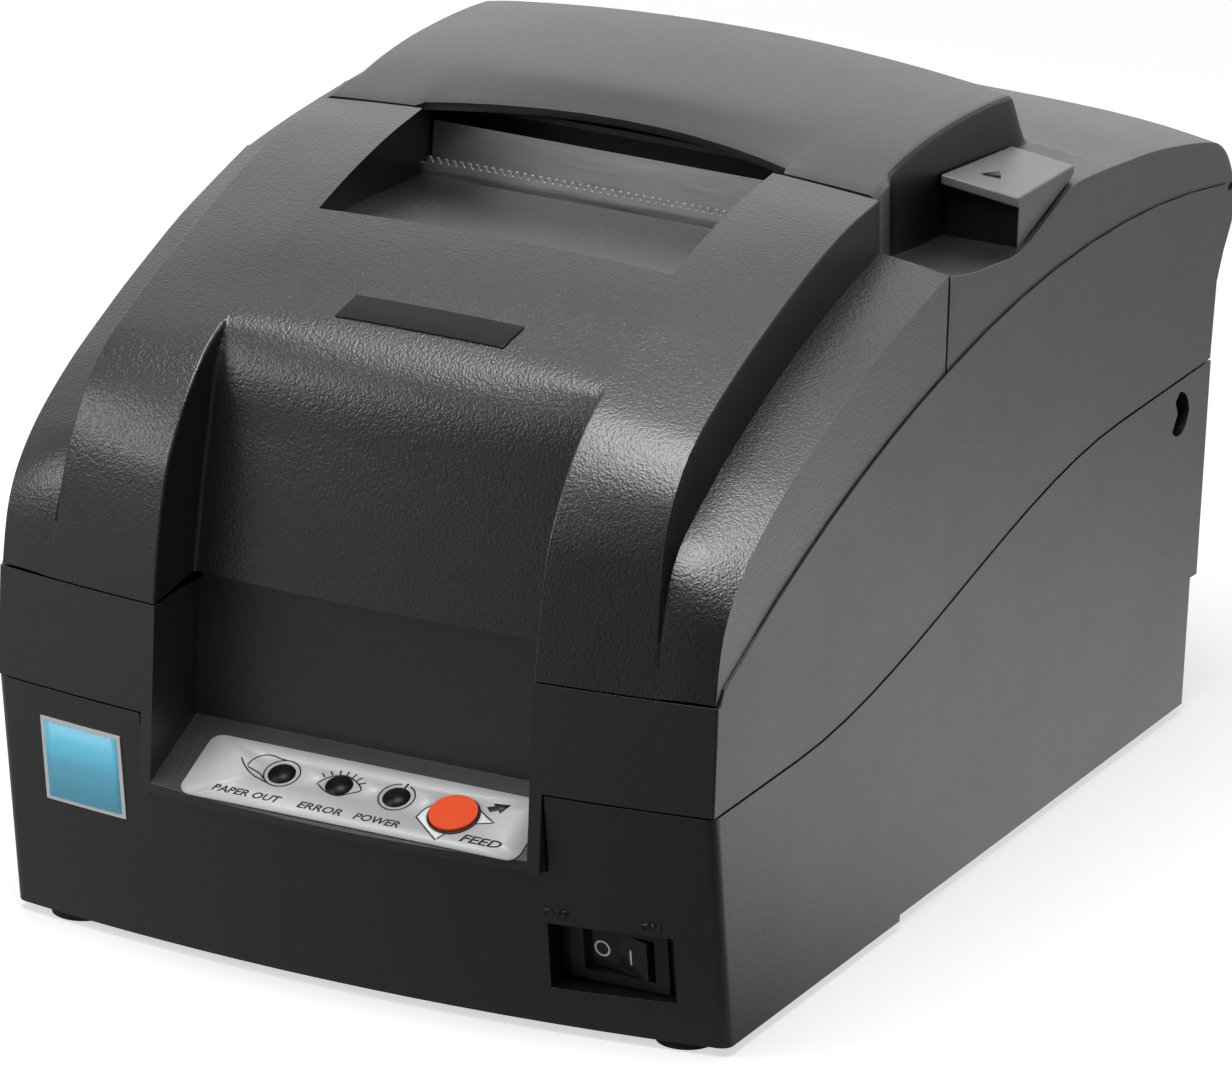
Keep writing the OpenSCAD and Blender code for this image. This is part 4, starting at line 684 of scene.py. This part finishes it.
def move_walls_in(columns):
    """Sets the hump's walls 1.5 mm further in behind the lip, fading out to both sides of them."""
    inner, outer, front = 55, 66, -9
    for column in columns:
        for i, (x, y, z) in enumerate(column):
            if inner < abs(x) < outer and y > front:
                share = min((abs(x) - inner) / 5, (outer - abs(x)) / 3.5, 1) * min((y - front) / 2, 1)
                column[i] = (x - copysign(share * 1.5, x), y, z)


def paper_cover_columns():
    """Columns from the left seam to the right one, and the places of the four that get a round."""
    deck = DECK[HUMP_STATIONS:]
    recess, recess_edge = RECESS + deck, RECESS_EDGE + DECK_EDGE[HUMP_STATIONS:]
    left_edge = cover_column(-COVER_HALF, DECK_EDGE)
    columns = side_columns(left_edge, -1)[::-1]
    left_at = len(columns)
    columns.append(left_edge)
    for x, share in ((-77.2, 0.12), (-74, 0.3), (-68, 0.65), (-64, 0.9)):
        columns.append(cover_column(x, blend(DECK_EDGE, DECK, share)))
    columns.append(cover_column(-HUMP_FOOT_X, DECK))
    for share in (0.2, 0.75):
        low = blend(DECK[:HUMP_STATIONS], hump_heights(-HUMP_X), share)
        columns.append(cover_column(-HUMP_FOOT_X + HUMP_LEAN * share, low + deck))
    hump_left_at = len(columns)
    for x in (-HUMP_X, -60, -56, -52, -46, -41.6):
        columns.append(cover_column(x, hump_heights(x)))
    for x in (-40.6, -34, -26, -17, -8.5, 0, 8.5, 17, 26, 34, 40.6):
        columns.append(cover_column(x, hump_heights(x), -5.8 - x * x / 208))
    for x in (41.6, 46, 52, 56, 60, HUMP_X):
        columns.append(cover_column(x, hump_heights(x)))
    hump_right_at = len(columns) - 1
    for share in (0.75, 0.2):
        low = blend(RECESS, hump_heights(HUMP_X), share)
        columns.append(cover_column(HUMP_FOOT_X - HUMP_LEAN * share, low + deck))
    columns.append(cover_column(HUMP_FOOT_X, recess))
    for x, share in ((64, 0.1), (68, 0.35), (74, 0.7), (77.2, 0.88)):
        columns.append(cover_column(x, blend(recess, recess_edge, share)))
    right_at = len(columns)
    columns.append(cover_column(COVER_HALF, recess_edge))
    columns += side_columns(columns[-1], 1)
    move_walls_in(columns)
    return columns, (left_at, hump_left_at, hump_right_at, right_at)


def make_paper_cover():
    """The rear cover with its hump, the arched lip over the paper and the hollow for the lever."""
    columns, (left_at, hump_left_at, hump_right_at, right_at) = paper_cover_columns()
    bm, table = skin(columns)
    bm.normal_update()
    # the hump's side walls take the darker, less glossy copy of the plastic: painted shade
    for face in bm.faces:
        c = face.calc_center_median() / MM
        face.material_index = int(59 < abs(c.x) < 63.5 and abs(face.normal.x) > 0.75 and -9 < c.y < 62)
    last = (HUMP_STATIONS - 1) * COVER_STEPS
    left, right = table[hump_left_at][:last + 1], table[hump_right_at][:last + 1]
    rear = [column[last] for column in table[hump_left_at:hump_right_at + 1]]
    bevel(bm, chain(table[left_at]) + chain(table[right_at]), 1.1, 5)
    bevel(bm, chain(left) + chain(right) + chain(rear), 1.3, 5)
    face_up(bm)
    cover = piece_from(bm, "rear_shell", "paper_cover", "case_plastic", CASE, PAINTED_SHADE_WALL)
    give_wall(cover, WALL)
    round_edges(cover, 0.3, flats=False)
    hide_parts("paper_cover")


HINGE_Y, HINGE_Z, KNUCKLE_R = 125.9, 116.4, 2.1


def make_cover_insides():
    """The dark throat behind the lip, and the hinge knuckles under the cover's rear edge."""
    half, rear, floor, top = 42, 3.0, 137.6, 149.6
    bm = bmesh.new()
    block(bm, (-half, -3.5, 148.2), (half, 1.2, top))
    block(bm, (-half, 1.2, floor), (half, rear, top))
    for side in (-1, 1):
        low, high = sorted((side * half, side * 43.6))
        block(bm, (low, -15.5, floor), (high, rear, top))
    piece = piece_from(bm, "paper_throat", "paper_cover", "black_plastic", SATIN_BLACK)
    round_edges(piece, 0.2)
    bm = bmesh.new()
    rod_x(bm, KNUCKLE_R, -61.6, 61.6, HINGE_Y, HINGE_Z)
    for side in (-1, 1):
        low, high = sorted((side * 70.4, side * 79))
        rod_x(bm, KNUCKLE_R, low, high, HINGE_Y, HINGE_Z)
    piece = piece_from(bm, "cover_knuckles", "paper_cover", "case_plastic", CASE)
    round_edges(piece, 0.3)


make_paper_cover()
make_cover_insides()


# ---------------------------------------------------------------- lever
LEVER_X, LEVER_W = 61.1, 16.8


def lever_station(x):
    """How far x lies across the lever, and where the lever's top starts and ends there in y."""
    across = (x - LEVER_X) / LEVER_W
    return across, 17.2 + 1.5 * across, 52.6 - 6 * across


def on_lever(x, y, out):
    """A point on the lever's sloping top, which leans outward and runs further back on the inside."""
    across, front, back = lever_station(x)
    along = (y - front) / (back - front)
    return Vector((x, y, (145.3 - 2.6 * across) * (1 - along) + (141.4 + 0.5 * across) * along + out))


def make_lever():
    """The lever's body under a thin cap laid on its top, the end of its pin and its mark."""
    bm = bmesh.new()
    bar(bm, [(19.4, 131.3), (19.4, 143.0), (45.9, 141.4), (45.9, 139.4)], 61.3, 77.9)
    for vert in bm.verts:
        if vert.co.z > 141 * MM:
            vert.co = on_lever(vert.co.x / MM, vert.co.y / MM, -1.3) * MM
    # the lever's front face, toward the hollow, takes the near-black second material: painted shade
    for face in bm.faces:
        face.material_index = int(face.calc_center_median().y < 20 * MM)
    # the cap starts as a slab at z 0 that is one long in y, and is then stretched over the top
    block(bm, (61.1, 0, -2.2), (77.9, 1, 0))
    for vert in bm.verts:
        if vert.co.z < 100 * MM:
            _, front, back = lever_station(vert.co.x / MM)
            along = vert.co.y / MM
            vert.co = on_lever(vert.co.x / MM, front * (1 - along) + back * along, vert.co.z / MM) * MM
    bmesh.ops.recalc_face_normals(bm, faces=bm.faces)
    piece = piece_from(bm, "lift_lever", "lever", "case_plastic", LEVER, PAINTED_SHADE)
    round_edges(piece, 0.45)
    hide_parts("cover_lever")
    bm = bmesh.new()
    rod_x(bm, 2.0, 54.2, 59.4, 44.2, 142.2)
    pin = piece_from(bm, "lever_pin_end", "paper_cover", "steel", STEEL)
    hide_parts("lever_pin")
    bm = bmesh.new()
    patch(bm, on_lever, [(66.2, 25.9), (68.0, 31.3), (69.9, 27.7)], -0.02, 0.06)
    piece_from(bm, "lever_mark", "lever", "black_plastic", INK)


make_lever()


# ---------------------------------------------------------------- name plate
def make_plate():
    """A bare glossy plate that follows the crown of the cover."""
    mid, side = through(SCOOP, STEPS), through(SHOULDER, STEPS)
    wide, tall = 16, 4
    columns = []
    for c in range(wide + 1):
        column = []
        for r in range(tall + 1):
            y = -93.6 + 6.3 * r / tall
            x = -20.2 + 37.4 * c / wide + 1.6 * r / tall
            z = height_on(mid, y) + (height_on(side, y) - height_on(mid, y)) * (x / SCOOP_X) ** 2
            column.append((x, y, z + 0.45))
        columns.append(column)
    bm, _ = skin(columns)
    face_up(bm)
    piece = piece_from(bm, "bare_plate", "front_cover", "gloss_black", GLOSS_BLACK)
    give_wall(piece, 0.8)
    round_edges(piece, 0.15)
    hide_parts("name_plate")


make_plate()


# ---------------------------------------------------------------- control panel marks
SLOPE = atan(9.5 / 21.6)
PANEL_Y, PANEL_Z = -117.7, 43.15
LAMPS, LAMP_R = (-16.8, -4.0, 8.8), 2.8
BUTTON_AT, BUTTON_R = (22.3, -1.6), 5.0


def on_panel(u, v, out):
    """A point of the control panel: along it, up its slope and out of it."""
    return Vector((u, PANEL_Y + v * cos(SLOPE) - out * sin(SLOPE),
                   PANEL_Z + v * sin(SLOPE) + out * cos(SLOPE)))


def rounded_box(left, right, low, high, radius):
    """The outline of a rectangle with round corners."""
    centres = ((right - radius, high - radius), (left + radius, high - radius),
               (left + radius, low + radius), (right - radius, low + radius))
    outline = []
    for k, centre in enumerate(centres):
        outline += arc(*centre, radius, 90 * k, 90 * k + 90, 6)
    return outline


def flat_through(points, steps):
    """The same smooth run as plain pairs."""
    return [(p.x, p.y) for p in through(points, steps)]


def make_label():
    """The pale sheet with its rounded corners and holes for the lamps and the button."""
    holes = [arc(x, 0, LAMP_R + 0.1, steps=32) for x in LAMPS] + [arc(*BUTTON_AT, BUTTON_R + 0.35, steps=48)]
    bm = bmesh.new()
    patch(bm, on_panel, rounded_box(-35.4, 40.0, -10.4, 7.3, 2.6), 0.62, 0.97, holes)
    sheet = piece_from(bm, "label_sheet", "base", "label_grey", LABEL)
    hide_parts("control_label")
    bm = bmesh.new()
    for x in LAMPS:
        patch(bm, on_panel, arc(x, 0, LAMP_R + 0.05, steps=32), 0.7, 0.99)
    piece_from(bm, "lamp_windows", "base", "lamp_dark", LAMP)


# the pictures on the label: the sheet round the button, the paper's tail, the eye and the arrow
DIAMOND = (flat_through([(15.1, -4.1), (15.9, -1.4), (17.9, 0.4), (23.4, 3.3)], 6)[:-1]
           + [(23.4, 3.3), (31.1, -1.5)]
           + flat_through([(31.1, -1.5), (27.1, -3.0), (23.7, -5.7), (21.7, -9.2)], 6)[1:])
ROLL_TAIL = [(-26.9, 2.2), (-25.8, 0.8), (-24.1, -0.8), (-22.2, -2.0), (-20.5, -2.6), (-18.6, -3.2)]
ROLL_FOLD = [(-24.5, 0.1), (-22.9, -0.5), (-21.1, -1.2), (-19.9, -2.3)]
EYE = [(-8.6, -0.6), (-7.2, 1.5), (-4.2, 2.95), (-1.2, 2.0),
       (0.9, 0.0), (-1.0, -1.6), (-3.2, -2.85), (-6.0, -2.3)]
LASHES = [((-7.9, 1.5), (-8.9, 2.4)), ((-6.5, 2.3), (-7.4, 3.4)), ((-5.1, 2.9), (-5.5, 4.2)),
          ((-3.7, 3.0), (-3.7, 4.3)), ((-2.3, 2.7), (-1.9, 4.1)), ((-1.1, 2.2), (-0.3, 3.4)),
          ((-0.2, 1.5), (1.1, 2.2))]
ARROW_HEAD = [(27.7, 2.4), (29.3, 3.1), (28.6, 3.7), (32.3, 4.2), (31.1, 1.4), (30.4, 2.1), (29.0, 1.2)]


def corners_outside(outline, centre, radius):
    """The parts of an outline that a disc leaves uncovered, each closed along the disc's edge."""
    dense = []
    for a, b in zip(outline, outline[1:] + outline[:1]):
        dense += [(a[0] + (b[0] - a[0]) * i / 12, a[1] + (b[1] - a[1]) * i / 12) for i in range(12)]
    away = [(Vector(p) - Vector(centre)).length > radius for p in dense]
    start = away.index(False)
    dense, away = dense[start:] + dense[:start], away[start:] + away[:start]
    runs, run = [], []
    for point, out in zip(dense + [dense[0]], away + [False]):
        if out:
            run.append(point)
        elif run:
            runs.append(run)
            run = []
    for run in runs:
        ends = [Vector(p) - Vector(centre) for p in (run[-1], run[0])]
        turn = ends[0].angle_signed(ends[1])
        first = Vector((1, 0)).angle_signed(ends[0])
        back = [-(first + turn * i / 8) for i in range(9)]
        yield run + [(centre[0] + radius * cos(a), centre[1] + radius * sin(a)) for a in back]


def make_label_marks():
    """Plain line pictures round the lamps and the button, and their words."""
    bm = bmesh.new()
    low, high = 0.96, 1.0

    def draw(points, closed=False, width=0.32):
        stroke(bm, on_panel, points, width, low, high, closed)

    draw(arc(LAMPS[0], 0.1, 3.75), closed=True)
    draw(arc(-21.0, 0.7, 3.7, 185, 62, 14) + [(-17.4, 3.8)])
    draw(flat_through(ROLL_TAIL, 3))
    draw(flat_through(ROLL_FOLD, 3))
    draw(flat_through(EYE + EYE[:1], 4)[:-1], closed=True)
    for lash in LASHES:
        draw(lash)
    draw(arc(LAMPS[2], 0.1, 3.75, 98, 428, 34))
    draw([(9.1, 2.0), (9.5, 4.3)], width=0.45)
    draw(DIAMOND, closed=True)
    patch(bm, on_panel, ARROW_HEAD, low, high)
    for text, left, right, top in (("PAPER OUT", -28.8, -13.6, -6.2), ("ERROR", -9.8, 0.0, -6.2),
                                   ("POWER", 2.7, 12.8, -6.2), ("FEED", 26.4, 35.4, -6.0)):
        word(bm, on_panel, text, left, right, -8.1, top, low, high, 0.25)
    piece_from(bm, "label_marks", "base", "black_plastic", INK)
    bm = bmesh.new()
    stroke(bm, on_panel, arc(*BUTTON_AT, BUTTON_R + 0.28, steps=48), 0.36, 0.8, 1.25, closed=True)
    piece_from(bm, "button_ring", "base", "black_plastic", SATIN_BLACK)
    bm = bmesh.new()
    for corner in corners_outside(DIAMOND, BUTTON_AT, BUTTON_R + 0.4):
        patch(bm, on_panel, corner, 0.96, 0.985)
    piece_from(bm, "label_diamond", "base", "label_grey", WHITE_PRINT)


make_label()
make_label_marks()


# ---------------------------------------------------------------- switch and sticker marks
LEAN = atan(10.5 / 52)
SWITCH_X, SWITCH_Z = 57, 18
ROCKER_Y, ROCKER_RIDGE = -117.47, -0.556


def front_y(x, z):
    """The y of the lower case's bowed front, which leans back below z 54."""
    return -128.5 + 7.4 * (x / 80) ** 2 + (54 - z) * tan(LEAN)


def on_front(x, h, out):
    """A point of the leaning bowed front: beside, above and out of the switch's middle."""
    y = front_y(SWITCH_X + x, SWITCH_Z)
    return Vector((SWITCH_X + x, y - h * sin(LEAN) - out * cos(LEAN),
                   SWITCH_Z + h * cos(LEAN) - out * sin(LEAN)))


def on_rocker(x, h, out):
    """A point of the rocker's two faces, which meet left of its middle."""
    depth = 5.43 - (x + 7.87) * 0.0793 if x < ROCKER_RIDGE else 4.85 - (x - ROCKER_RIDGE) * 0.2774
    depth -= out
    return Vector((SWITCH_X + x, ROCKER_Y + depth * cos(LEAN) - h * sin(LEAN),
                   SWITCH_Z + depth * sin(LEAN) + h * cos(LEAN)))


def make_switch_marks():
    """The ring and the bar on the rocker, and the two moulded words above it."""
    bm = bmesh.new()
    stroke(bm, on_rocker, arc(-4.5, -0.3, 1.6, steps=32), 0.45, -0.03, 0.04, closed=True)
    stroke(bm, on_rocker, [(2.3, -2.1), (2.3, 1.3)], 0.45, -0.03, 0.04)
    piece_from(bm, "rocker_marks", "rocker", "label_grey", WHITE_PRINT)
    bm = bmesh.new()
    word(bm, on_front, "OFF", -13.8, -8.3, 8.8, 10.8, -0.1, 0.16)
    word(bm, on_front, "ON", 6.6, 10.6, 8.8, 10.8, -0.1, 0.16)
    piece_from(bm, "switch_words", "base", "case_plastic", CASE)


def make_sticker_field():
    """The blue field inside the sticker's white border."""
    paint(nodes["front_sticker"], WHITE_PRINT)

    def place(x, z, out):
        return Vector((x, front_y(x, z) - out * cos(LEAN), z - out * sin(LEAN)))

    bm = bmesh.new()
    xs = [-68.7 + 17.6 * i / 12 for i in range(13)]
    patch(bm, place, [(x, 29.4) for x in xs] + [(x, 46.6) for x in reversed(xs)], 0.2, 0.29)
    piece_from(bm, "sticker_field", "base", "sticker_blue", STICKER)


make_switch_marks()
make_sticker_field()


# ---------------------------------------------------------------- room and light
def ramp(g, value, start, end, low, high):
    """A smooth rise or fall of a value between two places."""
    node = g.add("ShaderNodeMapRange", interpolation_type="SMOOTHSTEP")
    for label, number in (("From Min", start), ("From Max", end), ("To Min", low), ("To Max", high)):
        node.inputs[label].default_value = number
    g.join(value, node.inputs["Value"])
    return node.outputs[0]


def mix(g, share, a, b):
    """a where the share is 0 and b where it is 1."""
    return g.math("ADD", g.math("MULTIPLY", g.math("SUBTRACT", 1.0, share), a), g.math("MULTIPLY", share, b))


def make_floor():
    """A white floor that keeps the shadow; gloss sees it dim in front and pale at the right rear."""
    bm = bmesh.new()
    bmesh.ops.create_grid(bm, x_segments=1, y_segments=1, size=6)
    mesh = bpy.data.meshes.new("floor")
    bm.to_mesh(mesh)
    bm.free()
    floor = bpy.data.objects.new("floor", mesh)
    scene.collection.objects.link(floor)
    material = bpy.data.materials.new("pale_floor")
    material.use_nodes = True
    g = Graph(material.node_tree)
    g.tree.nodes.clear()
    place = g.add("ShaderNodeSeparateXYZ")
    g.join(g.add("ShaderNodeTexCoord").outputs["Object"], place.inputs[0])
    x, y = place.outputs["X"], place.outputs["Y"]
    path = g.add("ShaderNodeLightPath")
    front = ramp(g, x, -0.25, 0.15, 0.42, 0.10)
    rear = g.math("MULTIPLY", ramp(g, y, 0.12, 0.36, 1.0, 0.5), 1.15)
    glossy = mix(g, ramp(g, y, -0.14, 0.04, 0.0, 1.0), front, rear)
    matt = g.add("ShaderNodeBsdfDiffuse")
    matt.inputs["Color"].default_value = (0.50, 0.50, 0.50, 1)
    lift = g.add("ShaderNodeEmission")
    g.join(g.math("MULTIPLY", path.outputs["Is Camera Ray"], 0.62), lift.inputs["Strength"])
    total = g.add("ShaderNodeAddShader")
    g.join(matt.outputs[0], total.inputs[0])
    g.join(lift.outputs[0], total.inputs[1])
    mirrored = g.add("ShaderNodeEmission")
    g.join(glossy, mirrored.inputs["Strength"])
    choice = g.add("ShaderNodeMixShader")
    g.join(path.outputs["Is Glossy Ray"], choice.inputs["Fac"])
    g.join(total.outputs[0], choice.inputs[1])
    g.join(mirrored.outputs[0], choice.inputs[2])
    out = g.add("ShaderNodeOutputMaterial")
    g.join(choice.outputs[0], out.inputs["Surface"])
    mesh.materials.append(material)


def make_world():
    """Even light all round; gloss sees a dim room in front, dimmest at the right, and a pale one behind."""
    world = bpy.data.worlds.new("white_room")
    scene.world = world
    world.use_nodes = True
    g = Graph(world.node_tree)
    back = g.tree.nodes["Background"]
    back.inputs["Color"].default_value = (1, 1, 1, 1)
    path = g.add("ShaderNodeLightPath")
    way = g.add("ShaderNodeSeparateXYZ")
    g.join(g.add("ShaderNodeTexCoord").outputs["Generated"], way.inputs[0])
    front = ramp(g, way.outputs["X"], -0.85, 0.0, 0.45, 0.06)
    glossy = mix(g, ramp(g, way.outputs["Y"], 0.0, 0.85, 0.0, 1.0), front, 1.5)
    strength = mix(g, path.outputs["Is Glossy Ray"], 0.22, glossy)
    g.join(mix(g, path.outputs["Is Camera Ray"], strength, 1.1), back.inputs["Strength"])


def soft_light(name, toward, distance, wide, deep, watts):
    """A rectangular lamp that looks at the printer from a direction, deep along the printer."""
    data = bpy.data.lights.new(name, "AREA")
    data.shape = "RECTANGLE"
    data.size, data.size_y = wide, deep
    data.energy = watts
    lamp = bpy.data.objects.new(name, data)
    aim = Vector((0, -0.02, 0.08))
    away = Vector(toward).normalized()
    turn = away.to_track_quat("Z", "Y").to_matrix().to_4x4()
    lamp.matrix_world = Matrix.Translation(aim + away * distance) @ turn
    scene.collection.objects.link(lamp)


make_floor()
make_world()
soft_light("top_box", (-0.02, -0.26, 0.97), 1.2, 0.80, 0.75, 14)
soft_light("edge_box", (0.12, 0.20, 0.97), 1.2, 0.20, 0.25, 0.7)
soft_light("left_box", (-0.64, -0.64, 0.42), 1.2, 0.5, 0.35, 2.4)

scene.view_settings.view_transform = "Standard"
